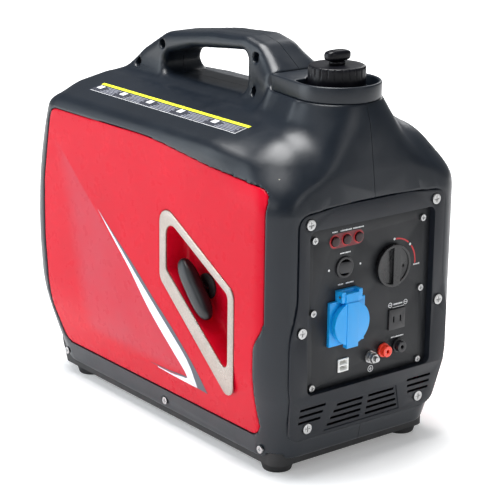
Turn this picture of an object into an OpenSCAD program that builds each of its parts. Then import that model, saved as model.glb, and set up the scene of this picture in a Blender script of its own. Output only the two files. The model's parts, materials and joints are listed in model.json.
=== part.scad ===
// Portable inverter generator with a moulded carrying handle.
// The control panel faces -Y, the pull starter faces -X and the fuel cap is on top.
// Inside the modules, y is measured from the front face of the body and z from the floor.

/* [Body] */
// Length from the front face to the rear bulge
body_l = 490; // [480:1:500]
// Width over the two sides
body_w = 273; // [270:1:278]
// Height of the top edge of each side
shoulder_z = 358; // [356:1:360]
// Height of the raised spine along the top
spine_z = 378; // [374:1:380]
// Wall thickness of the moulded halves
wall = 3; // [2.5:0.1:3.5]

/* [Handle] */
// Height of the top of the handle
handle_z = 453; // [450:1:454]
// Width of the handle bar
handle_w = 58; // [54:1:60]

/* [Front] */
// Depth of the recess that holds the control panel
recess_depth = 8; // [7:0.5:9]
// Width of one louvre slot
slot_h = 3.2; // [2.6:0.1:3.6]

/* [Fuel cap] */
// Diameter of the fuel cap
cap_d = 63; // [58:1:64]
// Distance from the front face to the fuel cap's axis
cap_y = 68; // [66:1:70]

/* [Starter] */
// Height of the crankshaft
crank_z = 140; // [139:1:141]
// Radius at which the rope winds on the reel
reel_r = 46; // [46:0.5:46.5]

/* [Hidden] */
$fn = 48;

half_w = body_w / 2;
proud = 6;                       // the socket cover stands this far ahead of the front face
front_y = -(body_l - proud) / 2; // front face in the part's own frame
base_z = 20;                     // lower edge of the moulded halves
pan_z = 10;                      // underside of the base pan
pan_inset = 24.5;                // the pan stands this far inside the body's outline
corner_r = 38;                   // vertical corners of the body
side_wall = 5;                   // the sides are thicker, to take the rebate of the panels
bulge_r = 450;                   // radius of the rear bulge, seen from the side
bulge_z = 195;                   // height of the rearmost point
shoulder_r = 26;                 // rounding between each side and the top
chin = 16;                       // the front leans back this far at its lower edge
chin_z = 96;                     // height from which it leans back
tuck = 18;                       // and each side tucks in this far
tuck_z = 110;                    // height from which the sides tuck in
spine_half = 48;                 // half width of the spine
fit = 0.3;                       // gap round a part that drops into a rebate
panel_y = recess_depth;          // front face of the control panel
panel_t = 2;
side_x = half_w - 1;             // outer face of the side panels
rope_y = 152;                    // plane of the rope and the reel
rope_z = crank_z + reel_r;
pocket_x = half_w - 28;          // back of the starter pocket
schuko_x = -32;
schuko_z = 170;
knob_x = 33.5;
knob_z = 221.3;
red_terminal = [25.5, 124];
black_terminal = [47, 125];
earth_at = [6.5, 120];
lens_x = [-49, -32.5, -15.5];
lens_z = 262;
rocker_at = [-34.5, 231];
two_pin_at = [44, 157];
usb_at = [-33, 119];
collar_z = 404;                  // underside of the filler collar
collar_top = 422;
collar_r = 49;
foot_xy = [[-92, 46], [92, 46], [-92, 418], [92, 418]];
flange_screws = [[90, 289], [99, 171], [82, 56]];
panel_screw_z = [102, 187, 268];
panel_screw_x = 78;
recess_half = 90;                // half width of the recess
rail_y = [41, 219, 430];
rail_seat = half_w - 17.5;
rail_z = 30;
handle_screw_yz = [[353, 421], [400, 392], [172, 432], [170, 394]];
leg_y = 131.5;                   // front face of the handle's front leg

// The panel's outline on the side: a list of [y, z] points and the radius of each corner
panel_yz = [
    [24, 325], [229, 346], [435, 343], [452, 250], [453, 180], [444, 90], [424, 46],
    [38, 46], [38, 152], [24, 178]
];
panel_r = [16, 600, 16, 120, 120, 60, 18, 16, 30, 30];
opening_yz = [[195.5, 261], [81, 199], [81, 107.5], [195.5, 199.5]];
bezel_yz = [[208, 280], [70.5, 204.5], [70.5, 72], [208, 186.5]];
opening_r = [12, 10, 7, 10];
bezel_r = [15, 14, 10, 15];

function unit(v) = v / norm(v);
function turn(a) = a > 180 ? a - 360 : (a < -180 ? a + 360 : a);

// One corner of an outline, rounded with an arc of radius r
function corner(before, at, after, r, steps) =
    let (
        u = unit(before - at),
        v = unit(after - at),
        half = acos(max(-1, min(1, u * v))) / 2,
        mid = at + unit(u + v) * r / sin(half),
        first = at + u * r / tan(half) - mid,
        last = at + v * r / tan(half) - mid,
        start = atan2(first[1], first[0]),
        sweep = turn(atan2(last[1], last[0]) - start)
    )
    [for (i = [0:steps]) mid + r * [cos(start + sweep * i / steps), sin(start + sweep * i / steps)]];

function rounded(pts, radii, steps = 5) = [
    for (i = [0:len(pts) - 1])
        each corner(pts[(i + len(pts) - 1) % len(pts)], pts[i], pts[(i + 1) % len(pts)], radii[i], steps)
];

function wrapped(pts, i) = pts[(i + len(pts)) % len(pts)];

// Positive for an outline that runs anticlockwise
function winding(pts) = sign([for (i = [0:len(pts) - 1])
    let (a = pts[i], b = wrapped(pts, i + 1)) a[0] * b[1] - b[0] * a[1]] * [for (p = pts) 1]);

function normal(a, b) = unit([b[1] - a[1], a[0] - b[0]]);

// The same outline with every edge moved outwards by d
function grown(pts, d) =
    let (way = winding(pts))
    [
        for (i = [0:len(pts) - 1])
            let (
                n1 = way * normal(wrapped(pts, i - 1), pts[i]),
                n2 = way * normal(pts[i], wrapped(pts, i + 1))
            )
            pts[i] + d * (n1 + n2) / (1 + n1 * n2)
    ];

function smooth(t) = t * t * (3 - 2 * t);

// How far the front leans back at height z
function lean(z) = chin * max(0, chin_z - z) / (chin_z - base_z);

// Half width of the front surround at height z: narrow above, wider below a soft S-bend
function surround_half(z) = 104 + 10 * smooth(max(0, min(1, (212 - z) / 60)));

function surround_side(grow) = [for (z = [150, 162, 172, 182, 192, 202, 214]) [surround_half(z) + grow, z]];

function surround_outline(grow) =
    let (
        low = 42 - grow,
        high = 299 + grow,
        right = concat(
            [for (a = [0:22.5:90]) [92 + (15 + grow) * sin(a), low + 15 + grow - (15 + grow) * cos(a)]],
            [[114 + grow, 112]],
            surround_side(grow),
            [for (a = [0:22.5:90]) [92 + (12 + grow) * cos(a), high - 12 + 12 * sin(a)]],
            [[50, high + 4]]
        )
    )
    concat(right, [for (i = [len(right) - 1:-1:0]) [-right[i][0], right[i][1]]]);

module from_front() translate([0, front_y, 0]) children();

// Extrudes an outline of [y, z] points from x0 to x1
module along_x(x0, x1) translate([x0, 0, 0]) rotate([90, 0, 90]) linear_extrude(x1 - x0) children();

// Extrudes an outline of [x, z] points from y0 to y1
module along_y(y0, y1) translate([0, y1, 0]) rotate([90, 0, 0]) linear_extrude(y1 - y0) children();

module rod_x(x0, x1, y, z, r) translate([x0, y, z]) rotate([0, 90, 0]) cylinder(h = x1 - x0, r = r);
module rod_y(y0, y1, x, z, r) translate([x, y0, z]) rotate([-90, 0, 0]) cylinder(h = y1 - y0, r = r);
module rod_z(z0, z1, x, y, r) translate([x, y, z0]) cylinder(h = z1 - z0, r = r);
module box(low, high) translate(low) cube(high - low);

module both_sides() {
    children();
    mirror([1, 0, 0]) children();
}

// The layer of the front between two depths below its face
module front_layer(y0, y1) along_x(-half_w, half_w) polygon([
    [y0, 330], [y0, chin_z], [y0 + lean(base_z), base_z], [y1 + lean(base_z), base_z], [y1, chin_z], [y1, 330]
]);

// ---------------------------------------------------------------- body form

module plan_outline(t) {
    r = corner_r - t;
    w = half_w - t;
    translate([-w, corner_r]) square([2 * w, body_l - 2 * corner_r]);
    translate([r - w, t]) square([2 * (w - r), body_l - 2 * t]);
    for (x = [r - w, w - r], y = [corner_r, body_l - corner_r]) translate([x, y]) circle(r);
}

module side_outline(t, low) {
    intersection() {
        translate([body_l - bulge_r, bulge_z]) circle(bulge_r - t, $fn = 200);
        polygon(rounded([
            [t + lean(low), low],
            [body_l, low],
            [body_l, spine_z - t],
            [t, spine_z - t],
            [t, chin_z]
        ], [2, 9, 24, 78, 20]));
    }
}

module front_outline(t, tx, low) {
    w = half_w - tx;
    polygon(rounded(
        [[tuck - w, low], [w - tuck, low], [w, tuck_z], [w, shoulder_z - t], [spine_half, spine_z - t],
         [-spine_half, spine_z - t], [-w, shoulder_z - t], [-w, tuck_z]],
        [2, 2, 250, shoulder_r - t, 60, 60, shoulder_r - t, 250], 8
    ));
}

// The body without handle and neck, t inside its outer faces and tx inside its sides
module body_form(t, tx, low) {
    intersection() {
        translate([0, 0, low]) linear_extrude(spine_z - low) plan_outline(t);
        along_x(-half_w, half_w) side_outline(t, low);
        along_y(0, body_l) front_outline(t, tx, low);
    }
}

// The tapered neck that rises to the filler collar
module neck(t) {
    intersection() {
        translate([0, cap_y, 300])
            cylinder(h = collar_z - 300 - t, r1 = 110 - t, r2 = collar_r + 1 - t, $fn = 96);
        along_x(-half_w, half_w)
            polygon([[t, 295], [t, 335], [13 + t, collar_z + 1], [210, collar_z + 1], [210, 295]]);
    }
}

module handle_outline() {
    difference() {
        polygon(rounded(
            [[448, 369], [400, 408], [350, 436], [262, handle_z - 4], [196, handle_z], [168, 447],
             [leg_y, 423], [leg_y, 366]],
            [6, 60, 50, 200, 30, 34, 3, 2]
        ));
        polygon(rounded([[356, 386], [345, 411], [295, 425], [190, 437], [190, 388]], [12, 14, 60, 10, 10]));
    }
}

// The carrying handle, whose front leg spreads to the width of the collar
module handle_bar() {
    half = handle_w / 2;
    along_x(-half, half) handle_outline();
    intersection() {
        along_x(-60, 60) handle_outline();
        along_y(leg_y, 190)
            polygon([[-half, handle_z], [half, handle_z], [40, 420], [50, 370], [-50, 370], [-40, 420]]);
        translate([0, 0, 370]) linear_extrude(90)
            polygon([[-half, 190], [half, 190], [50, leg_y], [-50, leg_y]]);
    }
}

module side_panel_cut(x0, x1, grow) along_x(x0, x1) polygon(rounded(grown(panel_yz, grow), panel_r));

// The skin of one side panel, which follows the body from in to out below its surface
module side_skin(out, in, grow) {
    difference() {
        intersection() {
            body_form(out, out, base_z);
            side_panel_cut(half_w - 40, half_w, grow);
        }
        body_form(in, in, base_z - 5);
    }
}

module screw_hole_cut(grow) {
    for (p = flange_screws) both_sides() rod_y(-1, 40, p[0], p[1], grow);
}

// Both moulded halves in one piece, before they are parted down the middle
module housing() {
    difference() {
        union() {
            body_form(0, 0, base_z);
            neck(0);
            handle_bar();
            translate([0, 0, 370]) linear_extrude(collar_z - 370) collar_shape(collar_r + 1, leg_y + 1);
        }
        body_form(wall, side_wall, base_z - 5);
        intersection() {
            neck(wall);
            box([-200, 0, 290], [200, 110, 380]);
        }
        // the mouth in the top of the neck
        rod_z(370, collar_z + 2, 0, cap_y, 40);
        // underside, open for the base pan
        translate([0, 0, base_z - 1]) linear_extrude(12) plan_outline(pan_inset - 1.5);
        // front opening and the rebate of the surround
        intersection() {
            along_y(-1, 20) polygon(surround_outline(fit));
            front_layer(-1, 3.2);
        }
        along_y(-1, 26) polygon(surround_outline(-6));
        // side openings with the rebates of the two panels
        both_sides() {
            side_skin(-1, 3.8, fit);
            side_panel_cut(half_w - 40, half_w + 2, -8);
        }
        // rear opening
        box([-92.3, body_l - 45, 69.7], [92.3, body_l + 1, 320.3]);
        // screws
        both_sides()
            for (i = [0:2]) {
                rod_x(half_w - 30, half_w + 1, rail_y[i], rail_z, 2.2);
                rod_x(rail_seat, half_w + 1, rail_y[i], rail_z, 5.5);
            }
        for (p = handle_screw_yz) {
            rod_x(-60, 10, p[0], p[1], 2.2);
            rod_x(-60, -10, p[0], p[1], 5.5);
        }
        screw_hole_cut(2.2);
    }
}

module housing_left() color([0.16, 0.17, 0.19]) from_front() intersection() {
    housing();
    box([-half_w, -1, 0], [-0.05, body_l + 1, 500]);
}

module housing_right() color([0.16, 0.17, 0.19]) from_front() intersection() {
    housing();
    box([0.05, -1, 0], [half_w, body_l + 1, 500]);
}

module base_pan() color([0.1, 0.1, 0.11]) from_front() difference() {
    intersection() {
        translate([0, 0, pan_z]) linear_extrude(30) plan_outline(pan_inset);
        along_x(-half_w, half_w) translate([body_l - bulge_r, bulge_z]) circle(bulge_r - 6, $fn = 200);
    }
    intersection() {
        translate([0, 0, pan_z + 4]) linear_extrude(40) plan_outline(pan_inset + 3);
        along_x(-half_w, half_w) translate([body_l - bulge_r, bulge_z]) circle(bulge_r - 9, $fn = 200);
    }
    both_sides() for (i = [0:2]) rod_x(half_w - 35, half_w, rail_y[i], rail_z, 1.9);
    // air slots under the engine
    for (x = [-60:20:60]) box([x - 3, 250, 5], [x + 3, 380, 20]);
}

module rubber_feet() color([0.06, 0.06, 0.06]) from_front()
    for (p = foot_xy) difference() {
        translate([p[0], p[1], 0]) cylinder(h = pan_z, r1 = 16, r2 = 19);
        rod_z(-1, 4, p[0], p[1], 6);
    }

// A round in front, whose straight sides close in towards the back
module collar_shape(r, back) {
    translate([0, cap_y]) circle(r, $fn = 96);
    polygon([
        [-0.82 * r, back],
        [0.82 * r, back],
        [0.988 * r, cap_y + 0.15 * r],
        [-0.988 * r, cap_y + 0.15 * r]
    ]);
}

// The collar is hollow round the cap and closed by a shelf behind it
module filler_collar() color([0.14, 0.15, 0.17]) from_front() difference() {
    union() {
        translate([0, 0, collar_z]) linear_extrude(collar_top - collar_z) collar_shape(collar_r, leg_y - fit);
        rod_z(collar_z - 6, collar_z, 0, cap_y, 39.7);
    }
    rod_z(collar_z + 5, collar_top + 1, 0, cap_y, 33.5);
    intersection() {
        rod_z(collar_z + 5, collar_top + 1, 0, cap_y, collar_r - 4);
        box([-collar_r, cap_y - collar_r, collar_z], [collar_r, cap_y + 22, collar_top + 1]);
    }
    rod_z(collar_z - 10, collar_z + 10, 0, cap_y, 27);
}

// ---------------------------------------------------------------- panels

module side_panel_left() color([0.72, 0.04, 0.09]) from_front() mirror([1, 0, 0]) {
    difference() {
        union() {
            side_skin(1, 3.5, 0);
            along_x(pocket_x - 2, side_x - 1) polygon(rounded(grown(opening_yz, 2), opening_r));
        }
        along_x(pocket_x, side_x + 1) polygon(rounded(opening_yz, opening_r));
        along_x(side_x - 1.5, side_x + 1) polygon(rounded(bezel_yz, bezel_r));
        rod_x(pocket_x - 3, pocket_x + 1, rope_y, rope_z, 9);
    }
}

module side_panel_right() color([0.72, 0.04, 0.09]) from_front() side_skin(1, 3.5, 0);

module starter_bezel() color([0.85, 0.83, 0.76]) from_front() mirror([1, 0, 0])
    along_x(side_x - 1.5, half_w) difference() {
        polygon(rounded(grown(bezel_yz, -0.4), bezel_r));
        polygon(rounded(opening_yz, opening_r));
    }

module recess_outline(inset) {
    w = recess_half - inset;
    r = 8 - inset;
    polygon(rounded([[-w, 97 + inset], [w, 97 + inset], [w, 281 - inset], [-w, 281 - inset]], [r, r, r, r]));
}

module louvre(x0, x1, z) translate([0, 0, z]) box([x0, -1, -slot_h / 2], [x1, 20, slot_h / 2]);

module front_surround() color([0.13, 0.14, 0.16]) from_front() difference() {
    union() {
        intersection() {
            along_y(0, 20) polygon(surround_outline(0));
            front_layer(0, 3);
        }
        difference() {
            box([-93.5, 3, 93], [93.5, panel_y + panel_t + 2, 285]);
            box([-80, -1, 101], [80, 30, 277]);
        }
        for (z = panel_screw_z, s = [-1, 1])
            rod_y(panel_y + panel_t, panel_y + 12, s * panel_screw_x, z, 5);
    }
    // the recess, whose back lip and bosses carry the control panel
    along_y(-1, panel_y + panel_t) recess_outline(0);
    // centre louvres in a shallow panel
    intersection() {
        along_y(-1, 20) polygon([[-44, 79], [44, 79], [56, 46], [-56, 46]]);
        front_layer(-1, 1);
    }
    for (i = [0:3], s = [-1, 1]) {
        reach = 42 + 3.2 * i;
        louvre(s > 0 ? 4 : -reach, s > 0 ? reach : -4, 75 - 7.6 * i);
    }
    for (i = [0:2]) both_sides() louvre(60 + 2.2 * i, 96, 81 - 8 * i);
    for (p = flange_screws) both_sides() {
        rod_y(-1, 20, p[0], p[1], 2.2);
        rod_y(-1, lean(p[1]) + 1.8, p[0], p[1], 6.5);
    }
    for (z = panel_screw_z, s = [-1, 1]) rod_y(3, 30, s * panel_screw_x, z, 1.9);
}

module control_panel() color([0.12, 0.13, 0.15]) from_front() difference() {
    along_y(panel_y, panel_y + panel_t) recess_outline(fit);
    for (z = panel_screw_z, s = [-1, 1]) rod_y(0, 30, s * panel_screw_x, z, 1.9);
    for (x = lens_x) rod_y(0, 30, x, lens_z, 4.4);
    rod_y(0, 30, rocker_at[0], rocker_at[1], 10.3);
    rod_y(0, 30, schuko_x, schuko_z, 22.3);
    rod_y(0, 30, knob_x, knob_z, 9);
    box([two_pin_at[0] - 10.3, 0, two_pin_at[1] - 10.3], [two_pin_at[0] + 10.3, 30, two_pin_at[1] + 10.3]);
    box([usb_at[0] - 6.3, 0, usb_at[1] - 6.3], [usb_at[0] + 6.3, 30, usb_at[1] + 6.3]);
    for (p = [red_terminal, black_terminal]) rod_y(0, 30, p[0], p[1], 5.2);
    rod_y(0, 30, earth_at[0], earth_at[1], 2.4);
}

module rear_grille() color([0.1, 0.1, 0.11]) from_front() difference() {
    intersection() {
        body_form(0, 0, base_z);
        box([-92, body_l - 45, 70], [92, body_l + 1, 320]);
    }
    body_form(wall, side_wall, base_z);
    for (i = [0:13]) both_sides() box([6, body_l - 50, 196 + 8.4 * i], [84, body_l + 1, 199.6 + 8.4 * i]);
    for (i = [0:9]) both_sides() box([44, body_l - 50, 84 + 8.4 * i], [84, body_l + 1, 87.6 + 8.4 * i]);
    rod_y(body_l - 60, body_l + 1, 0, 128, 26);
}

// ---------------------------------------------------------------- fasteners

module pan_screw(head_r, head_h, shank_r, length) {
    difference() {
        cylinder(h = head_h, r = head_r, $fn = 24);
        for (a = [0, 90]) rotate([0, 0, a])
            translate([-head_r * 0.6, -0.5, head_h - 1]) cube([head_r * 1.2, 1, 2]);
    }
    translate([0, 0, -length]) cylinder(h = length, r = shank_r, $fn = 24);
}

module handle_screws() color("dimgray") from_front() for (p = handle_screw_yz)
    translate([-10, p[0], p[1]]) rotate([0, -90, 0]) pan_screw(4.2, 3, 1.9, 18);

module front_screws() color("silver") from_front() for (p = flange_screws) both_sides()
    translate([p[0], lean(p[1]) + 1.8, p[1]]) rotate([90, 0, 0]) pan_screw(5.8, 3.4, 1.9, 14);

module panel_screws() color("silver") from_front() for (z = panel_screw_z, s = [-1, 1])
    translate([s * panel_screw_x, panel_y, z]) rotate([90, 0, 0]) pan_screw(3.8, 2.4, 1.6, 8);

module rail_screws() color("dimgray") from_front() both_sides() for (i = [0:2])
    translate([rail_seat, rail_y[i], rail_z]) rotate([0, 90, 0]) pan_screw(4.4, 2.6, 1.7, 10);

// ---------------------------------------------------------------- fuel system

tank_top = 350;
neck_top = 404;

module fuel_tank() color([0.82, 0.8, 0.74]) from_front() difference() {
    union() {
        box([-112, 26, 296], [112, 300, 336]);
        box([-80, 26, 336], [80, 260, tank_top]);
    }
    box([-110, 28, 298], [110, 298, 334]);
    box([-78, 28, 330], [78, 258, tank_top - 2]);
    rod_z(tank_top - 5, tank_top + 5, 0, cap_y, 20);
}

module tank_neck() color("silver") from_front() difference() {
    union() {
        rod_z(tank_top, neck_top, 0, cap_y, 22);
        rod_z(tank_top, tank_top + 1.5, 0, cap_y, 30);
    }
    rod_z(tank_top - 1, neck_top + 1, 0, cap_y, 20);
}

module fuel_strainer() color("steelblue") from_front() difference() {
    union() {
        rod_z(352, 394, 0, cap_y, 17.5);
        rod_z(392, 394, 0, cap_y, 19.8);
    }
    rod_z(353, 395, 0, cap_y, 16.5);
    for (a = [0:30:150], z = [358:7:385])
        translate([0, cap_y, z]) rotate([0, 0, a]) cube([40, 4.5, 4], center = true);
}

module cap_shell() color([0.1, 0.1, 0.11]) from_front() difference() {
    union() {
        rod_z(412, 436, 0, cap_y, cap_d / 2);
        rod_z(436, 438, 0, cap_y, cap_d / 2 - 3);
    }
    rod_z(411, 432, 0, cap_y, 26.5);
    for (a = [0:15:345])
        translate([0, cap_y, 0]) rotate([0, 0, a])
            translate([cap_d / 2 + 0.9, 0, 410]) cylinder(h = 30, r = 1.9);
    rod_z(430, 440, 0, cap_y, 2.4);
}

module cap_core() color([0.18, 0.18, 0.2]) from_front() difference() {
    union() {
        rod_z(397, 432, 0, cap_y, 19.2);
        rod_z(408, 432, 0, cap_y, 26.2);
    }
    rod_z(395, 404, 0, cap_y, 16);
    rod_z(400, 440, 0, cap_y, 2.4);
}

module cap_gasket() color("black") from_front() difference() {
    rod_z(neck_top, 408, 0, cap_y, 24.5);
    rod_z(neck_top - 1, 409, 0, cap_y, 19.6);
}

module vent_knob() color([0.09, 0.09, 0.1]) from_front() {
    difference() {
        union() {
            rod_z(438.3, 446, 0, cap_y, 9);
            box([-16, cap_y - 7.5, 441], [16, cap_y + 7.5, 454]);
        }
        for (s = [-1, 1]) rod_z(440, 455, s * 17.5, cap_y, 3.5);
    }
    rod_z(420, 438.3, 0, cap_y, 2.3);
}

// ---------------------------------------------------------------- control panel items

module engine_knob() color([0.1, 0.1, 0.11]) from_front() difference() {
    union() {
        rod_y(panel_y - 6, panel_y - 0.6, knob_x, knob_z, 24);
        rod_y(panel_y - 0.6, panel_y + 8, knob_x, knob_z, 3);
    }
    // the finger recess beside the grip, and the pointer
    intersection() {
        rod_y(panel_y - 7, panel_y - 2, knob_x, knob_z, 21);
        box([knob_x - 24, panel_y - 7, knob_z - 24], [knob_x - 1, panel_y - 2, knob_z + 24]);
    }
    intersection() {
        rod_y(panel_y - 7, panel_y - 4.5, knob_x, knob_z, 21);
        box([knob_x + 9, panel_y - 7, knob_z - 24], [knob_x + 24, panel_y - 4.5, knob_z + 24]);
    }
    rod_y(panel_y - 7, panel_y - 3, knob_x + 14, knob_z - 2, 1.8);
}

module engine_switch() color([0.25, 0.25, 0.27]) from_front() difference() {
    union() {
        rod_y(panel_y, panel_y + 6, knob_x, knob_z, 8.8);
        box([knob_x - 20, panel_y + 6, knob_z - 20], [knob_x + 20, panel_y + 30, knob_z + 20]);
    }
    rod_y(panel_y - 1, panel_y + 12, knob_x, knob_z, 3.06);
}

module economy_rocker() color([0.1, 0.1, 0.11]) from_front()
    translate([rocker_at[0], panel_y + 1, rocker_at[1]]) rotate([0, 0, -8]) intersection() {
        rod_y(-5, 4, 0, 0, 8.4);
        union() {
            box([-9, -3.4, -6.2], [9, 1, 6.2]);
            rod_z(-6, 6, 0, 0, 3);
        }
    }

module economy_switch() color([0.13, 0.13, 0.14]) from_front() difference() {
    union() {
        rod_y(panel_y - 1.6, panel_y, rocker_at[0], rocker_at[1], 12);
        rod_y(panel_y, panel_y + 22, rocker_at[0], rocker_at[1], 10);
    }
    rod_y(panel_y - 5, panel_y + 8, rocker_at[0], rocker_at[1], 9);
}

module schuko_base() color([0.1, 0.42, 0.85]) from_front() difference() {
    union() {
        box([schuko_x - 25, panel_y - 4, schuko_z - 25], [schuko_x + 25, panel_y, schuko_z + 25]);
        rod_y(panel_y, panel_y + 22, schuko_x, schuko_z, 22);
        rod_y(panel_y - 7, panel_y - 4, schuko_x, schuko_z, 22);
        for (s = [-1, 1])
            box([schuko_x + 12 * s - 2.5, panel_y - 11.5, schuko_z + 25],
                [schuko_x + 12 * s + 2.5, panel_y, schuko_z + 37]);
        box([schuko_x - 14.5, panel_y - 4, schuko_z + 25], [schuko_x + 14.5, panel_y, schuko_z + 37]);
    }
    rod_y(panel_y - 10, panel_y + 9.5, schuko_x, schuko_z, 19.5);
    for (s = [-1, 1]) rod_y(panel_y, panel_y + 20, schuko_x + 9.5 * s, schuko_z, 2.7);
    rod_x(schuko_x - 20, schuko_x + 20, panel_y - 7.5, schuko_z + 31, 1.55);
}

module schuko_contacts() color("gold") from_front() for (s = [-1, 1]) {
    difference() {
        rod_y(panel_y + 12, panel_y + 19.5, schuko_x + 9.5 * s, schuko_z, 2.65);
        rod_y(panel_y + 11, panel_y + 18, schuko_x + 9.5 * s, schuko_z, 2.3);
    }
}

module schuko_cover() color([0.1, 0.42, 0.85]) from_front() difference() {
    union() {
        rod_y(panel_y - 13, panel_y - 7.5, schuko_x, schuko_z, 24.5);
        box([schuko_x - 8, panel_y - 14, schuko_z - 27], [schuko_x + 8, panel_y - 7.5, schuko_z + 24]);
        box([schuko_x - 9.2, panel_y - 12.5, schuko_z + 15],
            [schuko_x + 9.2, panel_y - 7.5, schuko_z + 34.2]);
        rod_x(schuko_x - 9.2, schuko_x + 9.2, panel_y - 7.5, schuko_z + 31, 3.2);
    }
    rod_y(panel_y - 11.5, panel_y, schuko_x, schuko_z, 22.3);
    rod_x(schuko_x - 20, schuko_x + 20, panel_y - 7.5, schuko_z + 31, 1.56);
}

module cover_pin() color("silver") from_front()
    rod_x(schuko_x - 14.5, schuko_x + 14.5, panel_y - 7.5, schuko_z + 31, 1.5);

module two_pin_socket() color([0.12, 0.12, 0.13]) from_front() difference() {
    union() {
        box([two_pin_at[0] - 12, panel_y - 2, two_pin_at[1] - 12],
            [two_pin_at[0] + 12, panel_y, two_pin_at[1] + 12]);
        box([two_pin_at[0] - 10, panel_y, two_pin_at[1] - 10],
            [two_pin_at[0] + 10, panel_y + 20, two_pin_at[1] + 10]);
    }
    for (s = [-1, 1])
        box([two_pin_at[0] + 5 * s - 1, 0, two_pin_at[1] - 3.5],
            [two_pin_at[0] + 5 * s + 1, panel_y + 15, two_pin_at[1] + 3.5]);
}

module usb_module() color([0.85, 0.85, 0.83]) from_front() difference() {
    union() {
        box([usb_at[0] - 7.5, panel_y - 1.5, usb_at[1] - 7.5], [usb_at[0] + 7.5, panel_y, usb_at[1] + 7.5]);
        box([usb_at[0] - 6, panel_y, usb_at[1] - 6], [usb_at[0] + 6, panel_y + 18, usb_at[1] + 6]);
    }
    for (s = [-1, 1])
        box([usb_at[0] - 5.5, 0, usb_at[1] + 3.2 * s - 2.3],
            [usb_at[0] + 5.5, panel_y + 12, usb_at[1] + 3.2 * s + 2.3]);
}

module terminal(at) difference() {
    union() {
        rod_y(panel_y - 9, panel_y - 3, at[0], at[1], 6.4);
        rod_y(panel_y - 3, panel_y, at[0], at[1], 8);
        rod_y(panel_y, panel_y + 14, at[0], at[1], 5);
    }
    rod_y(panel_y - 10, panel_y + 11, at[0], at[1], 2.05);
}

module terminal_red() color([0.75, 0.07, 0.07]) from_front() terminal(red_terminal);

module terminal_black() color([0.08, 0.08, 0.08]) from_front() terminal(black_terminal);

module earth_stud() color("silver") from_front() {
    rod_y(panel_y - 13.5, panel_y - 9.5, earth_at[0], earth_at[1], 3);
    rod_y(panel_y - 9.5, panel_y + 10, earth_at[0], earth_at[1], 2.4);
}

module earth_nuts() color("silver") from_front() {
    difference() {
        union() {
            rod_y(panel_y - 1, panel_y, earth_at[0], earth_at[1], 7);
            translate([earth_at[0], panel_y - 1, earth_at[1]]) rotate([90, 0, 0])
                cylinder(h = 3.5, r = 5.8, $fn = 6);
            rod_y(panel_y - 5.5, panel_y - 4.5, earth_at[0], earth_at[1], 6.5);
            translate([earth_at[0], panel_y - 5.5, earth_at[1]]) rotate([90, 0, 0])
                cylinder(h = 4, r = 5.8, $fn = 6);
        }
        rod_y(panel_y - 12, panel_y + 5, earth_at[0], earth_at[1], 2.4);
    }
}

module indicator_lenses() color([0.7, 0.05, 0.05]) from_front() for (x = lens_x) {
    rod_y(panel_y - 2.5, panel_y, x, lens_z, 5.6);
    rod_y(panel_y, panel_y + 8, x, lens_z, 4.2);
}

// ---------------------------------------------------------------- pull starter

grip_tilt = 48; // slope of the grip, seen from the side
grip_r = 9.5;
grip_half = 29; // half the distance between the centres of its round ends
grip_x = grip_r - half_w;

module on_rope() from_front() translate([0, rope_y, rope_z]) children();

module starter_grip() color([0.08, 0.08, 0.09]) on_rope() difference() {
    union() {
        translate([grip_x, 0, 0]) rotate([grip_tilt, 0, 0]) {
            rotate([90, 0, 0]) cylinder(h = 2 * grip_half, r = grip_r, center = true);
            for (s = [-1, 1]) translate([0, grip_half * s, 0]) sphere(grip_r);
        }
        rod_x(grip_x, -pocket_x - 3.6, 0, 0, 7);
    }
    rod_x(grip_x, -pocket_x, 0, 0, 2.6);
}

module starter_rope() color([0.2, 0.2, 0.22]) from_front() {
    rod_x(grip_x + 1, 0, rope_y, rope_z, 2.2);
}

module rope_guide() color([0.75, 0.75, 0.72]) from_front() difference() {
    union() {
        rod_x(-pocket_x, 6 - pocket_x, rope_y, rope_z, 8.8);
        rod_x(-pocket_x - 3, -pocket_x, rope_y, rope_z, 15);
    }
    rod_x(-pocket_x - 5, 10 - pocket_x, rope_y, rope_z, 3.4);
}

module recoil_housing() color([0.15, 0.15, 0.16]) from_front() difference() {
    rod_y(rope_y - 18, 166, 0, crank_z, 66);
    rod_y(rope_y - 15, 167, 0, crank_z, 63);
    // rope outlet, hub bearing and air holes
    rod_x(-80, 0, rope_y, rope_z, 4);
    rod_y(rope_y - 20, rope_y, 0, crank_z, 6.06);
    for (a = [0:45:315])
        translate([52 * cos(a), rope_y - 20, crank_z + 52 * sin(a)])
            rotate([-90, 0, 0]) cylinder(h = 10, r = 5);
}

module recoil_reel() color([0.75, 0.73, 0.68]) from_front() difference() {
    union() {
        rod_y(rope_y - 7, rope_y - 3.5, 0, crank_z, 54);
        rod_y(rope_y - 3.5, rope_y + 3.5, 0, crank_z, reel_r - 8);
        rod_y(rope_y + 3.5, rope_y + 7, 0, crank_z, 54);
        rod_y(rope_y - 24, rope_y - 7, 0, crank_z, 6);
    }
    rod_y(rope_y + 3, rope_y + 8, 0, crank_z, 30);
}

module rope_coil() color([0.2, 0.2, 0.22]) from_front() difference() {
    rod_y(rope_y - 2.6, rope_y + 2.6, 0, crank_z, reel_r - 2.4);
    rod_y(rope_y - 3, rope_y + 3, 0, crank_z, reel_r - 7.9);
}

// A flat spiral of spring strip, wound round the reel's hub
module recoil_spring() color("gray") from_front() {
    turns = 6;
    inner = [for (a = [0:15:360 * turns]) (9 + a / 90) * [cos(a), sin(a)]];
    outer = [for (a = [360 * turns:-15:0]) (9.8 + a / 90) * [cos(a), sin(a)]];
    translate([0, 0, crank_z]) along_y(rope_y - 14, rope_y - 8) polygon(concat(inner, outer));
}

// ---------------------------------------------------------------- engine and alternator

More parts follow.
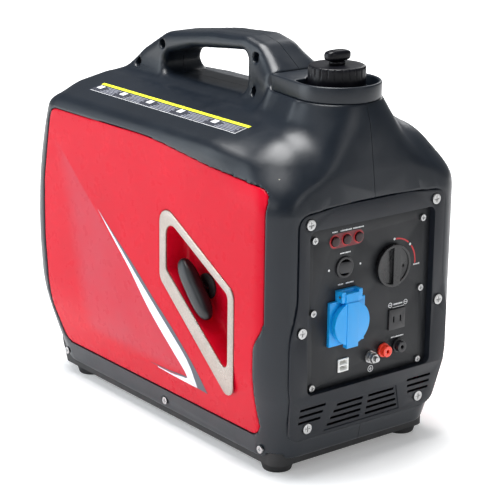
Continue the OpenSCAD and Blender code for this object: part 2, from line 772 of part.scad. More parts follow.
module cooling_fan() color([0.2, 0.2, 0.22]) from_front() {
    difference() {
        union() {
            rod_y(168, 171, 0, crank_z, 70);
            rod_y(168, 186, 0, crank_z, 20);
            for (a = [0:30:330]) translate([0, 0, crank_z]) rotate([0, a, 0])
                box([18, 171, -1.5], [68, 186, 1.5]);
        }
        rod_y(160, 190, 0, crank_z, 12.05);
    }
}

module flywheel() color([0.35, 0.35, 0.36]) from_front() difference() {
    rod_y(188, 228, 0, crank_z, 66);
    rod_y(192, 229, 0, crank_z, 58);
    rod_y(180, 230, 0, crank_z, 12.05);
}

module crankshaft() color("silver") from_front() {
    rod_y(166, 336, 0, crank_z, 12);
    rod_y(262, 272, 0, crank_z, 34);
    rod_y(292, 302, 0, crank_z, 34);
}

module stator() color([0.65, 0.35, 0.15]) from_front() difference() {
    union() {
        rod_y(196, 226, 0, crank_z, 34);
        for (a = [0:30:330]) translate([0, 0, crank_z]) rotate([0, a, 0]) box([30, 198, -5], [54, 224, 5]);
    }
    rod_y(190, 230, 0, crank_z, 20);
}

cyl_tilt = -48; // the cylinder leans to the starter side

// Places children on the cylinder's own axis, which starts at the crankshaft
module on_cylinder() translate([0, 282, crank_z]) rotate([0, cyl_tilt, 0]) children();

module crankcase() color([0.6, 0.6, 0.62]) from_front() difference() {
    union() {
        rod_y(238, 326, 0, crank_z, 58);
        box([-60, 238, 34], [60, 326, 110]);
        rod_y(226, 238, 0, crank_z, 30);
    }
    rod_y(242, 322, 0, crank_z, 52);
    box([-54, 242, 40], [54, 322, 106]);
    rod_y(220, 340, 0, crank_z, 12.06);
    on_cylinder() translate([0, 0, 30]) cylinder(h = 60, r = 28);
    rod_x(40, 80, 300, 72, 8.2);
}

module engine_cylinder() color([0.62, 0.62, 0.64]) from_front() difference() {
    on_cylinder() difference() {
        union() {
            translate([0, 0, 59]) cylinder(h = 40, r = 32);
            for (z = [62:6:94]) translate([-38, -40, z]) cube([76, 80, 2.4]);
        }
        translate([0, 0, 50]) cylinder(h = 60, r = 25);
    }
    rod_y(230, 330, 0, crank_z, 58.2);
}

module cylinder_head() color([0.58, 0.58, 0.6]) from_front() on_cylinder() difference() {
    union() {
        translate([-38, -40, 99]) cube([76, 80, 14]);
        translate([-30, -32, 113]) cube([60, 64, 14]);
    }
    translate([0, 0, 98]) cylinder(h = 6, r = 24);
    translate([0, -40, 106]) rotate([90, 0, 0]) cylinder(h = 30, r = 5.1, center = true);
}

module spark_plug() color("white") from_front() on_cylinder() translate([0, -25.5, 106]) rotate([90, 0, 0]) {
    cylinder(h = 14, r = 5);
    translate([0, 0, 14.5]) cylinder(h = 5, r = 9, $fn = 6);
    translate([0, 0, 14]) cylinder(h = 30, r = 4);
}

module plug_cap() color([0.07, 0.07, 0.07])
    from_front() on_cylinder() translate([0, -45.5, 106]) rotate([90, 0, 0]) difference() {
        cylinder(h = 32, r = 9);
        translate([0, 0, -1]) cylinder(h = 26, r = 4.2);
    }

module carburettor() color([0.7, 0.7, 0.72]) from_front() difference() {
    union() {
        box([64, 268, 150], [92, 300, 186]);
        rod_x(58.5, 64, 284, 168, 14);
        rod_z(130, 150, 78, 284, 13);
    }
    rod_x(50, 100, 284, 168, 8);
}

module air_cleaner() color([0.12, 0.12, 0.13]) from_front() difference() {
    box([92, 250, 130], [124, 330, 220]);
    box([94.5, 252.5, 132.5], [121.5, 327.5, 217.5]);
    rod_x(85, 96, 284, 168, 8);
}

module muffler() color([0.45, 0.42, 0.4]) from_front() difference() {
    box([-70, 350, 60], [70, 430, 200]);
    box([-67, 353, 63], [67, 427, 197]);
    rod_y(425, 435, 0, 128, 12.5);
}

module exhaust_outlet() color([0.4, 0.4, 0.4]) from_front() difference() {
    union() {
        rod_y(430, 478, 0, 128, 13);
        rod_y(430, 433, 0, 128, 20);
    }
    rod_y(429, 479, 0, 128, 11);
}

module inverter_module() color([0.55, 0.55, 0.57]) from_front() difference() {
    box([-75, 66, 60], [75, 108, 250]);
    for (x = [-72:8:72]) box([x - 2, 92, 55], [x + 2, 109, 255]);
}

module engine_mounts() color([0.07, 0.07, 0.07]) from_front() for (x = [-48, 48], y = [250, 314])
    rod_z(pan_z + 4, 34, x, y, 9);

module oil_dipstick() color("gold") from_front() {
    rod_x(50, 60, 300, 72, 8);
    rod_x(60, 72, 300, 72, 13);
}

housing_left();
housing_right();
base_pan();
rubber_feet();
filler_collar();
side_panel_left();
side_panel_right();
starter_bezel();
front_surround();
control_panel();
rear_grille();
handle_screws();
front_screws();
panel_screws();
rail_screws();
cap_shell();
cap_core();
cap_gasket();
vent_knob();
fuel_tank();
tank_neck();
fuel_strainer();
engine_knob();
engine_switch();
economy_rocker();
economy_switch();
schuko_base();
schuko_contacts();
schuko_cover();
cover_pin();
two_pin_socket();
usb_module();
terminal_red();
terminal_black();
earth_stud();
earth_nuts();
indicator_lenses();
starter_grip();
starter_rope();
rope_guide();
recoil_housing();
recoil_reel();
rope_coil();
recoil_spring();
cooling_fan();
flywheel();
crankshaft();
stator();
crankcase();
engine_cylinder();
cylinder_head();
spark_plug();
plug_cap();
carburettor();
air_cleaner();
muffler();
exhaust_outlet();
inverter_module();
engine_mounts();
oil_dipstick();
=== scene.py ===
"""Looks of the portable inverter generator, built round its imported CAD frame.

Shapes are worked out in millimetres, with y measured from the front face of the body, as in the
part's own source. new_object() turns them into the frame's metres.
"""
import json
import math

import bmesh
import bpy
import numpy as np
from mathutils import Matrix, Vector


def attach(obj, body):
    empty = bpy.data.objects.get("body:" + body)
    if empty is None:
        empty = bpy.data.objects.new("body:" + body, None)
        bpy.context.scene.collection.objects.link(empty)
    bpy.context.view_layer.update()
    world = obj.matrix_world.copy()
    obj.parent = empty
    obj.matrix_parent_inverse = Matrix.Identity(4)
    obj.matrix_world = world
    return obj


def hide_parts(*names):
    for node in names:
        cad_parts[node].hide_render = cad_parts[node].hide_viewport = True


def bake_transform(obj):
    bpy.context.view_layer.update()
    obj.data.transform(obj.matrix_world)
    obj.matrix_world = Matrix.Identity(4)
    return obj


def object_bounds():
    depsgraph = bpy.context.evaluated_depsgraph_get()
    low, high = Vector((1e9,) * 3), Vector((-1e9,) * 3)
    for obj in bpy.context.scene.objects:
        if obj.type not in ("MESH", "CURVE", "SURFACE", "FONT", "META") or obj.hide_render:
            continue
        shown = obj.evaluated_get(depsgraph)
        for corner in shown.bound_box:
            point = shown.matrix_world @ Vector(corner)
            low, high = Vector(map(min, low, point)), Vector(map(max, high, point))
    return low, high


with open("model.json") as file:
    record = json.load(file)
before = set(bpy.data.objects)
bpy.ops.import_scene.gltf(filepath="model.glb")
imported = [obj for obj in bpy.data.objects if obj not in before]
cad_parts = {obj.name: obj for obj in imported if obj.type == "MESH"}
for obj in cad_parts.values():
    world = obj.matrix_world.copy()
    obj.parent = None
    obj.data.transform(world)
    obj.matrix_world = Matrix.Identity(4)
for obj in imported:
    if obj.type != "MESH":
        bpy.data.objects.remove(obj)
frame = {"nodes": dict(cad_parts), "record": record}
cad_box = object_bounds()

NODES = frame["nodes"]
MM = 0.001
PROUD = 6.0                                  # the socket cover stands this far ahead of the front face
FRONT_Y = cad_box[0].y / MM + PROUD          # front face of the body in the frame
HALF_W = cad_box[1].x / MM
BODY_L = cad_box[1].y / MM - FRONT_Y
BASE_Z = 20.0
SPINE_Z = 378.0
SPINE_HALF = 48.0
SHOULDER_Z = 358.0
SHOULDER_R = 20.0                            # shoulder rounding at the back
SHOULDER_SOFT_R = 76.0                       # and at the front
CORNER_R = 38.0                              # vertical corners, which grow softer towards the top
BULGE_R = 450.0                              # rear bulge, seen from the side
BULGE_Z = 195.0
CHIN, CHIN_Z = 16.0, 96.0                    # the front leans back below CHIN_Z
TUCK, TUCK_Z = 18.0, 110.0                   # and the sides tuck in below TUCK_Z
CAP_Y = 68.0
COLLAR_Z = 404.0
COLLAR_R = 49.0
HANDLE_HALF = 29.0
HANDLE_Z = 453.0
LEG_Y = 131.5                                # front face of the handle's front leg
PANEL_Y = 8.0                                # front face of the control panel
POCKET_X = HALF_W - 28.0                     # floor of the starter's pocket
ROPE_Y, ROPE_Z = 152.0, 186.0                # where the starter's rope comes out
SEAM = 0.3                                   # each moulded half stops this far from the middle
GAP = 0.45                                   # gap round the parts that drop into rebates
WALL = 3.6                                   # wall of the moulding
SIDE_WALL = 6.5                              # wall behind the edges of the side panels
LEAST_WALL = 3.8                             # and the least that any cut leaves
FRONT_REBATE = 3.1
SIDE_REBATE = 4.0
SIDE_ZONE = HALF_W - 40                      # a side panel lies outside this
SKIN_DEPTH = (3.6, 1.0)                      # its inner and outer face, below the body's surface
HOUSING_STEP, QUICK_HOUSING_STEP = 2.0, 4.0  # cells of the meshes
PANEL_STEP, QUICK_PANEL_STEP = 1.3, 2.4
HOUSING_KEPT, PANEL_KEPT = 0.33, 0.4         # share of the faces that thinning leaves
SHARP = math.radians(50)                     # sharper folds keep a crease in the shading
BEVELLED = math.radians(32)                  # and sharper edges of a CAD node are rounded
SLIVER = 0.15 * MM                           # shorter edges are closed up
KNOB_X, KNOB_Z = 39, 219.7                   # engine knob on the panel
LAMP_X, LAMP_Z = (-49, -32.5, -15.5), 262
TERMINAL_X, TERMINAL_Z = (34.5, 57.5), 174   # signs over the two terminals
STRIPE_TOP = (334, 239)                      # upper end of the printed stripe, as (y, z)
LABEL_X, LABEL_Y = (-79, -102), (115, 401)   # edges of the label on the top

# Outlines on the side, as [y, z] points with a radius for each corner
PANEL_YZ = [(24, 325), (229, 346), (435, 343), (452, 250), (453, 180), (444, 90), (424, 46),
            (38, 46), (38, 152), (24, 178)]
PANEL_R = [16, 600, 16, 120, 120, 60, 18, 16, 30, 30]
OPENING_YZ = [(195.5, 261), (81, 199), (81, 107.5), (195.5, 199.5)]
OPENING_R = [12, 10, 7, 10]
BEZEL_YZ = [(208, 280), (70.5, 204.5), (70.5, 72), (208, 186.5)]
BEZEL_R = [15, 14, 10, 15]
HANDLE_YZ = [(452, 362), (400, 408), (350, 436), (262, HANDLE_Z - 4), (196, HANDLE_Z), (168, 447),
             (LEG_Y, 423), (LEG_Y, 356)]
HANDLE_R = [6, 60, 50, 200, 30, 34, 3, 2]
HAND_YZ = [(356, 386), (345, 411), (295, 425), (190, 437), (190, 388)]
HAND_R = [12, 14, 60, 10, 10]
HANDLE_SCREWS = [(353, 421), (400, 392), (172, 432), (170, 394)]
RAIL_SCREW_Y = [41, 219, 430]
RAIL_SCREW_Z = 30.0
RAIL_SEAT = HALF_W - 17.5


# ------------------------------------------------------------------ distance functions

def rounded(points, radii, steps=8):
    """A closed outline with each corner replaced by an arc."""
    out = []
    for i, at in enumerate(points):
        at = np.array(at, float)
        u = np.array(points[i - 1], float) - at
        v = np.array(points[(i + 1) % len(points)], float) - at
        u, v = u / np.linalg.norm(u), v / np.linalg.norm(v)
        half = math.acos(max(-1.0, min(1.0, float(u @ v)))) / 2
        mid = at + (u + v) / np.linalg.norm(u + v) * radii[i] / math.sin(half)
        first = at + u * radii[i] / math.tan(half) - mid
        last = at + v * radii[i] / math.tan(half) - mid
        start = math.atan2(first[1], first[0])
        sweep = (math.atan2(last[1], last[0]) - start + math.pi) % (2 * math.pi) - math.pi
        for k in range(steps + 1):
            a = start + sweep * k / steps
            out.append((mid[0] + radii[i] * math.cos(a), mid[1] + radii[i] * math.sin(a)))
    return out


def outline_distance(u, v, points):
    """Signed distance to a closed outline, negative inside it."""
    best = np.full(np.broadcast(u, v).shape, 1e12)
    inside = np.zeros(best.shape, bool)
    for i, (bu, bv) in enumerate(points):
        au, av = points[i - 1]
        eu, ev = bu - au, bv - av
        wu, wv = u - au, v - av
        t = np.clip((wu * eu + wv * ev) / (eu * eu + ev * ev + 1e-12), 0, 1)
        best = np.minimum(best, (wu - eu * t) ** 2 + (wv - ev * t) ** 2)
        crosses = (v >= av) != (v < bv)
        inside ^= ~crosses & ((eu * wv > ev * wu) == (v >= av))
    return np.where(inside, -1.0, 1.0) * np.sqrt(best)


def soft_max(a, b, k):
    """The larger of two distances, rounded over a width k where they cross."""
    h = np.clip(k - np.abs(a - b), 0, None) / k
    return np.maximum(a, b) + h * h * k / 4


def soft_min(a, b, k):
    return -soft_max(-a, -b, k)


def round_max(a, b, r):
    """The larger of two distances, with an arc of radius r where two faces meet."""
    arc = np.hypot(np.clip(a + r, 0, None), np.clip(b + r, 0, None)) - r
    return np.where((a > -r) & (b > -r), arc, np.maximum(a, b))


def rod(u, v, cu, cv, r):
    """Distance to an endless rod seen end on."""
    return np.hypot(u - cu, v - cv) - r


def slab(u, low, high):
    return np.maximum(low - u, u - high)


def carve(solid, tool):
    return np.maximum(solid, -tool)


def lean(z):
    """How far the front leans back at height z."""
    return CHIN * np.clip(CHIN_Z - z, 0, None) / (CHIN_Z - BASE_Z)


BELOW = 120.0                                # outlines run on this far below the base
SECTION_XZ = [
    (TUCK * (TUCK_Z + BELOW) / (TUCK_Z - BASE_Z) - HALF_W, -BELOW),
    (HALF_W - TUCK * (TUCK_Z + BELOW) / (TUCK_Z - BASE_Z), -BELOW),
    (HALF_W, TUCK_Z), (HALF_W, SHOULDER_Z), (SPINE_HALF, SPINE_Z), (-SPINE_HALF, SPINE_Z),
    (-HALF_W, SHOULDER_Z), (-HALF_W, TUCK_Z)]
SECTION = rounded(SECTION_XZ, [2, 2, 220, SHOULDER_R, 40, 40, SHOULDER_R, 220], 12)
SOFT_SECTION = rounded(SECTION_XZ, [2, 2, 220, SHOULDER_SOFT_R, 30, 30, SHOULDER_SOFT_R, 220], 16)


def smooth(value, low, high):
    t = np.clip((value - low) / (high - low), 0, 1)
    return t * t * (3 - 2 * t)


def front_face(y, z):
    """The front: leaning back below the chin and again up the neck."""
    return (np.maximum(lean(z), (z - 300) * 13 / 104) - y) * 0.98


def body(x, y, z):
    """The body without handle and neck."""
    soft = smooth(-y, -130, -40)             # the shoulder grows softer towards the front
    section = outline_distance(x, z, SECTION) * (1 - soft) + outline_distance(x, z, SOFT_SECTION) * soft
    ends = np.maximum(front_face(y, z), np.hypot(y - BODY_L + BULGE_R, z - BULGE_Z) - BULGE_R)
    middle = smooth(-np.abs(x), -125, -80)
    edge_r = CORNER_R + smooth(z, 306, 346) * 22 * (smooth(-y, -260, -120) - smooth(y, 300, 400) * middle)
    return soft_max(round_max(section, ends, edge_r), BASE_Z - z, 3.0)


def neck(x, y, z):
    """The cone under the filler collar, with a flat front."""
    slope = (110.0 - COLLAR_R - 1) / (COLLAR_Z - 300)
    cone = (np.hypot(x, y - CAP_Y) - (COLLAR_R + 1) - slope * (COLLAR_Z - z)) / math.hypot(1, slope)
    return np.maximum(soft_max(soft_max(cone, front_face(y, z), 14.0), 300 - z, 4.0), z - COLLAR_Z)


KEYHOLE = [(-41, LEG_Y + 1), (41, LEG_Y + 1), (49.4, 75.5), (0, 60), (-49.4, 75.5)]


def plinth(x, y, z):
    """What joins the neck to the handle's front leg under the straight part of the collar."""
    spread = 0.42
    plan = outline_distance(x, y, KEYHOLE) - spread * (COLLAR_Z - z)
    return np.maximum(np.maximum(plan / math.hypot(1, spread), z - COLLAR_Z), 350 - z)


HANDLE = rounded(HANDLE_YZ, HANDLE_R)
HAND = rounded(HAND_YZ, HAND_R)


def handle(x, y, z):
    side = outline_distance(y, z, HANDLE)
    # both legs widen towards the spine, and the front one towards the collar as well
    wide = 10 * np.clip((405 - z) / 27, 0, 1) ** 2 + 12 * smooth(-y, -190, -LEG_Y) * smooth(-z, -447, -407)
    bar = soft_max(side, np.abs(x) - HANDLE_HALF - wide, 13.0)
    hand = outline_distance(y, z, HAND)
    bar = soft_max(bar, -hand, 9.0)
    ribs = np.clip(1 - ((y - 275) / 70) ** 8, 0, 1) * (z > 425) * (x > -26) * (x < 26)
    return bar + 0.5 * ribs * (0.5 + 0.5 * np.cos(x * 2 * math.pi / 5.2))


def shell_outside(x, y, z):
    """The outer surface of the moulded halves."""
    form = soft_min(body(x, y, z), soft_min(neck(x, y, z), plinth(x, y, z), 10.0), 12.0)
    form = np.maximum(soft_max(form, front_face(y, z), 3.0), z - COLLAR_Z)
    return soft_min(form, handle(x, y, z), 9.0)


def surround_half(z):
    t = np.clip((212 - z) / 60, 0, 1)
    low = 8 * np.clip((100 - z) / 58, 0, 1) ** 2
    return 104 + 10 * t * t * (3 - 2 * t) - low


def surround_distance(x, z):
    """Distance to the outline of the front surround."""
    sides = (np.abs(x) - surround_half(z)) * 0.98
    high = 299 + 4 * (1 - np.clip(np.abs(x) / 92, 0, 1) ** 2)
    return soft_max(soft_max(sides, z - high, 18.0), 42 - z, 22.0)


PANEL = rounded(PANEL_YZ, PANEL_R)
OPENING = rounded(OPENING_YZ, OPENING_R)
BEZEL = rounded(BEZEL_YZ, BEZEL_R)


def housing(x, y, z):
    """Both moulded halves: walls, rebates and openings."""
    form = body(x, y, z)
    outside = shell_outside(x, y, z)
    inside = np.maximum(form + np.where(np.abs(x) > SIDE_ZONE, SIDE_WALL, WALL), BASE_Z - 9 - z)
    inside = soft_min(inside, np.maximum(neck(x, y, z + WALL) + WALL, y - 112), 8.0)
    inside = np.maximum(inside, outside + LEAST_WALL)
    solid = carve(outside, inside)
    solid = carve(solid, np.maximum(rod(x, y, 0, CAP_Y, 40.0), slab(z, 365, COLLAR_Z + 9)))
    # front opening
    front = surround_distance(x, z)
    depth = y - lean(z)
    solid = carve(solid, np.maximum(front - GAP, depth - FRONT_REBATE))
    solid = carve(solid, np.maximum(front + 6, depth - 20))
    # side openings and their rebates
    side = outline_distance(y, z, PANEL)
    flank = HALF_W - 37.5 - np.abs(x)
    solid = carve(solid, np.maximum(np.maximum(side - GAP, flank), -(form + SIDE_REBATE)))
    solid = carve(solid, np.maximum(side + 8, flank))
    # rear opening
    rear = np.maximum(np.maximum(np.abs(x) - 92.4, slab(z, 69.6, 320.4)), BODY_L - 45 - y)
    solid = carve(solid, rear)
    for sy in RAIL_SCREW_Y:
        solid = carve(solid, np.maximum(rod(y, z, sy, RAIL_SCREW_Z, 5.6), RAIL_SEAT - np.abs(x)))
    # underside, open round the base pan
    pan = np.maximum(np.maximum(np.abs(x) - HALF_W + 23, slab(y, 23, BODY_L - 23)), z - BASE_Z - 6)
    return carve(solid, pan)


def skin(x, y, z):
    """The red panel of one side, a millimetre below the surface of the body."""
    form = body(x, y, z)
    sheet = soft_max(slab(form, -SKIN_DEPTH[0], -SKIN_DEPTH[1]), outline_distance(y, z, PANEL), 1.2)
    return np.maximum(sheet, SIDE_ZONE - np.abs(x))


def skin_with_pocket(x, y, z):
    """The red panel on the starter's side, with its pocket."""
    opening = outline_distance(y, z, OPENING)
    depth = HALF_W - np.abs(x)
    draft = opening + 0.16 * (depth - 4)     # the walls of the pocket slope inwards
    pocket = np.maximum(draft - 2.4, slab(depth, 2, 30.4))
    solid = soft_min(skin(x, y, z), pocket, 3.0)
    hollow = np.maximum(soft_max(draft, depth - 28, 7.0), -4 - depth)
    solid = soft_max(solid, -hollow, 1.2)
    bezel = outline_distance(y, z, BEZEL)
    solid = carve(solid, np.maximum(bezel - 0.2, depth - 2.6))
    return carve(solid, rod(y, z, ROPE_Y, ROPE_Z, 9.0))


# ------------------------------------------------------------------ meshes

def surface_net(distance, low, high, step):
    """Meshes the zero surface of a distance function, as one vertex per crossed cell."""
    axes = [np.arange(lo, hi + step, step) for lo, hi in zip(low, high)]
    x, y, z = axes[0][:, None, None], axes[1][None, :, None], axes[2][None, None, :]
    d = np.broadcast_to(distance(x, y, z), tuple(len(a) for a in axes)).astype(np.float32)
    inside = d < 0
    n = [s - 1 for s in d.shape]

    def corner(array, i, j, k):
        return array[i:i + n[0], j:j + n[1], k:k + n[2]]

    corners = [(i, j, k) for i in (0, 1) for j in (0, 1) for k in (0, 1)]
    count = sum(corner(inside, *c).astype(np.int8) for c in corners)
    cells = np.argwhere((count > 0) & (count < 8))
    total, weight = np.zeros((len(cells), 3)), np.zeros(len(cells))
    for a in corners:
        for axis in range(3):
            if a[axis]:
                continue
            b = list(a)
            b[axis] = 1
            da = d[tuple((cells + a).T)]
            db = d[tuple((cells + b).T)]
            cut = (da < 0) != (db < 0)
            t = np.where(cut, da / np.where(cut, da - db, 1), 0)
            place = np.array(a, float)[None, :].repeat(len(cells), 0)
            place[:, axis] = t
            total += place * cut[:, None]
            weight += cut
    points = (cells + total / weight[:, None]) * step + np.array([a[0] for a in axes])
    index = np.full(n, -1, np.int32)
    index[tuple(cells.T)] = np.arange(len(cells))
    quads = []
    for axis in range(3):
        o1, o2 = [(1, 2), (2, 0), (0, 1)][axis]
        size = list(d.shape)
        size[axis] -= 1
        here = inside[tuple(slice(0, s) for s in size)]
        there = inside[tuple(slice(1, s + 1) if i == axis else slice(0, s) for i, s in enumerate(size))]
        edges = np.argwhere(here != there)
        ok = (edges[:, o1] > 0) & (edges[:, o2] > 0) & (edges[:, o1] < n[o1]) & (edges[:, o2] < n[o2])
        edges = edges[ok]
        around = []
        for s1, s2 in ((1, 1), (0, 1), (0, 0), (1, 0)):
            cell = edges.copy()
            cell[:, o1] -= s1
            cell[:, o2] -= s2
            around.append(index[tuple(cell.T)])
        quad = np.stack(around, 1)
        flip = ~here[tuple(edges.T)]
        quad[flip] = quad[flip][:, ::-1]
        quads.append(quad)
    return points, np.concatenate(quads)


def placed(name, data):
    """An object for a mesh, a light or a camera."""
    thing = bpy.data.objects.new(name, data)
    bpy.context.scene.collection.objects.link(thing)
    return thing


def new_object(name, points, faces, smooth=True):
    mesh = bpy.data.meshes.new(name)
    points = np.asarray(points, float)
    mesh.from_pydata(((points + (0, FRONT_Y, 0)) * MM).tolist(), [], [list(map(int, f)) for f in faces])
    mesh.update()
    mesh.polygons.foreach_set("use_smooth", [smooth] * len(mesh.polygons))
    return placed(name, mesh)


def mended(thing, merge=0.0):
    """Joins points closer than merge and turns every face outwards."""
    bm = bmesh.new()
    bm.from_mesh(thing.data)
    if merge:
        bmesh.ops.remove_doubles(bm, verts=bm.verts, dist=merge)
    bmesh.ops.recalc_face_normals(bm, faces=bm.faces)
    bm.to_mesh(thing.data)
    bm.free()
    return thing


def tube_faces(count, sides, start=0):
    """The faces between a row of rings of points, with a cap at both ends."""
    faces = [tuple(start + k for k in range(sides))]
    for i in range(count - 1):
        for k in range(sides):
            a, b = start + i * sides + k, start + i * sides + (k + 1) % sides
            faces.append((a, b, b + sides, a + sides))
    faces.append(tuple(start + (count - 1) * sides + k for k in range(sides)))
    return faces


def thinned(thing, ratio):
    """Applies a collapse decimation, which leaves the flat stretches with few faces."""
    modifier = thing.modifiers.new("thin", "DECIMATE")
    modifier.ratio = ratio
    graph = bpy.context.evaluated_depsgraph_get()
    mesh = bpy.data.meshes.new_from_object(thing.evaluated_get(graph))
    thing.modifiers.clear()
    old, thing.data = thing.data, mesh
    bpy.data.meshes.remove(old)
    bm = bmesh.new()
    bm.from_mesh(mesh)
    bmesh.ops.dissolve_degenerate(bm, dist=SLIVER, edges=bm.edges)
    bm.to_mesh(mesh)
    bm.free()
    mesh.polygons.foreach_set("use_smooth", [True] * len(mesh.polygons))
    mesh.set_sharp_from_angle(angle=SHARP)
    return thing


def body_of_node(node):
    for name, nodes in frame["record"]["behaviour"]["bodies"].items():
        if node in nodes:
            return name
    return "case"


def slot_of_node(node):
    for part in frame["record"]["subparts"]:
        if part["node"] == node:
            return part["material_slot"]
    return "case_plastic"


def stands_for(piece, node):
    """The piece replaces a CAD node, on its body and with its material."""
    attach(piece, body_of_node(node))
    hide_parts(node)
    piece.data.materials.clear()
    piece.data.materials.append(MATERIALS[slot_of_node(node)])


def refined(node, width, segments):
    """A copy of a CAD node with clean faces and rounded edges."""
    bm = bmesh.new()
    bm.from_mesh(NODES[node].data)
    bmesh.ops.remove_doubles(bm, verts=bm.verts, dist=2e-6)
    bmesh.ops.dissolve_limit(bm, angle_limit=math.radians(0.6), verts=bm.verts, edges=bm.edges)
    edges = [e for e in bm.edges if len(e.link_faces) == 2 and e.calc_face_angle(0) > BEVELLED]
    bmesh.ops.bevel(bm, geom=edges, offset=width * MM, offset_type="OFFSET", segments=segments,
                    profile=0.5, affect="EDGES", clamp_overlap=True)
    bmesh.ops.remove_doubles(bm, verts=bm.verts, dist=1e-6)
    bmesh.ops.triangulate(bm, faces=[f for f in bm.faces if len(f.verts) > 4])
    mesh = bpy.data.meshes.new(node + "_detail")
    bm.to_mesh(mesh)
    bm.free()
    mesh.polygons.foreach_set("use_smooth", [True] * len(mesh.polygons))
    mesh.set_sharp_from_angle(angle=math.radians(28))
    stands_for(placed(node + "_detail", mesh), node)


# ------------------------------------------------------------------ materials

class Graph:
    """Short ways to place and link shader nodes."""

    def __init__(self, name):
        self.material = bpy.data.materials.new(name)
        self.material.use_nodes = True
        self.tree = self.material.node_tree
        self.tree.nodes.clear()
        self.output = self.add("ShaderNodeOutputMaterial")
        self.shader = self.add("ShaderNodeBsdfPrincipled")
        self.link(self.shader.outputs[0], self.output.inputs[0])
        self.place = self.add("ShaderNodeTexCoord").outputs["Object"]

    def add(self, kind, **settings):
        node = self.tree.nodes.new(kind)
        for key, value in settings.items():
            setattr(node, key, value)
        return node

    def link(self, a, b):
        self.tree.links.new(a, b)

    def noise(self, scale, detail=3.0, stretch=None):
        node = self.add("ShaderNodeTexNoise")
        node.inputs["Scale"].default_value = scale
        node.inputs["Detail"].default_value = detail
        node.inputs["Roughness"].default_value = 0.55
        source = self.place
        if stretch:
            mapping = self.add("ShaderNodeMapping")
            mapping.inputs["Scale"].default_value = stretch
            self.link(source, mapping.inputs[0])
            source = mapping.outputs[0]
        self.link(source, node.inputs["Vector"])
        return node.outputs["Fac"]

    def ramp(self, fac, low, high, a, b):
        """Maps fac from [low, high] to colours or numbers a and b."""
        if isinstance(a, tuple):
            node = self.add("ShaderNodeValToRGB")
            node.color_ramp.elements[0].position = low
            node.color_ramp.elements[1].position = high
            node.color_ramp.elements[0].color = (*a, 1)
            node.color_ramp.elements[1].color = (*b, 1)
            self.link(fac, node.inputs[0])
            return node.outputs[0]
        node = self.add("ShaderNodeMapRange")
        for key, value in zip(("From Min", "From Max", "To Min", "To Max"), (low, high, a, b)):
            node.inputs[key].default_value = value
        self.link(fac, node.inputs["Value"])
        return node.outputs[0]

    def math(self, operation, a, b):
        node = self.add("ShaderNodeMath", operation=operation, use_clamp=True)
        for i, value in enumerate((a, b)):
            if isinstance(value, (int, float)):
                node.inputs[i].default_value = value
            else:
                self.link(value, node.inputs[i])
        return node.outputs[0]

    def mix(self, fac, a, b):
        node = self.add("ShaderNodeMix", data_type="RGBA")
        self.link(fac, node.inputs[0])
        for i, value in ((6, a), (7, b)):
            if isinstance(value, tuple):
                node.inputs[i].default_value = (*value, 1)
            else:
                self.link(value, node.inputs[i])
        return node.outputs[2]

    def edges(self):
        """Convex edges, where the surface wears first."""
        node = self.add("ShaderNodeNewGeometry")
        return self.ramp(node.outputs["Pointiness"], 0.53, 0.62, 0.0, 1.0)

    def colour(self, socket):
        self.link(socket, self.shader.inputs["Base Color"])

    def roughness(self, socket):
        self.link(socket, self.shader.inputs["Roughness"])

    def bump(self, layers):
        """Adds (height socket, distance in mm, strength) layers of relief."""
        normal = None
        for height, distance, strength in layers:
            node = self.add("ShaderNodeBump")
            node.inputs["Distance"].default_value = distance * MM
            node.inputs["Strength"].default_value = strength
            self.link(height, node.inputs["Height"])
            if normal:
                self.link(normal, node.inputs["Normal"])
            normal = node.outputs[0]
        self.link(normal, self.shader.inputs["Normal"])


def shade(colour, factor):
    return tuple(min(1.0, c * factor) for c in colour)


def moulded(name, colour, rough, grain=0.12, coat=0.0, wear=0.25, sheen=0.5, mottle=0.12):
    """Moulded plastic: a fine grain, faint flow marks and rubbed edges."""
    g = Graph(name)
    g.shader.inputs["Specular IOR Level"].default_value = sheen
    g.shader.inputs["Coat Weight"].default_value = coat
    g.shader.inputs["Coat Roughness"].default_value = 0.12
    flow = g.noise(14, 4)
    fine = g.noise(1400, 2)
    base = g.ramp(flow, 0.3, 0.7, shade(colour, 1 - mottle), shade(colour, 1 + mottle))
    base = g.mix(g.math("MULTIPLY", fine, 0.25), base, shade(colour, 1.5))
    base = g.mix(g.math("MULTIPLY", g.edges(), wear), base, tuple(0.7 * c + 0.07 for c in colour))
    g.colour(base)
    g.roughness(g.ramp(g.noise(55, 5), 0.25, 0.75, rough - 0.05, rough + 0.06))
    g.bump([(flow, 0.6, 0.12), (fine, grain, 0.5)])
    return g.material


def rubbery(name, colour, rough):
    """Matt rubber, dusty and paler along its edges."""
    g = Graph(name)
    g.shader.inputs["Specular IOR Level"].default_value = 0.3
    dust = g.noise(40, 6)
    fine = g.noise(900, 2)
    base = g.ramp(dust, 0.35, 0.75, colour, tuple(c + 0.03 for c in colour))
    g.colour(g.mix(g.math("MULTIPLY", g.edges(), 0.3), base, tuple(c + 0.06 for c in colour)))
    g.roughness(g.ramp(dust, 0.3, 0.7, rough - 0.1, rough + 0.1))
    g.bump([(fine, 0.15, 0.6)])
    return g.material


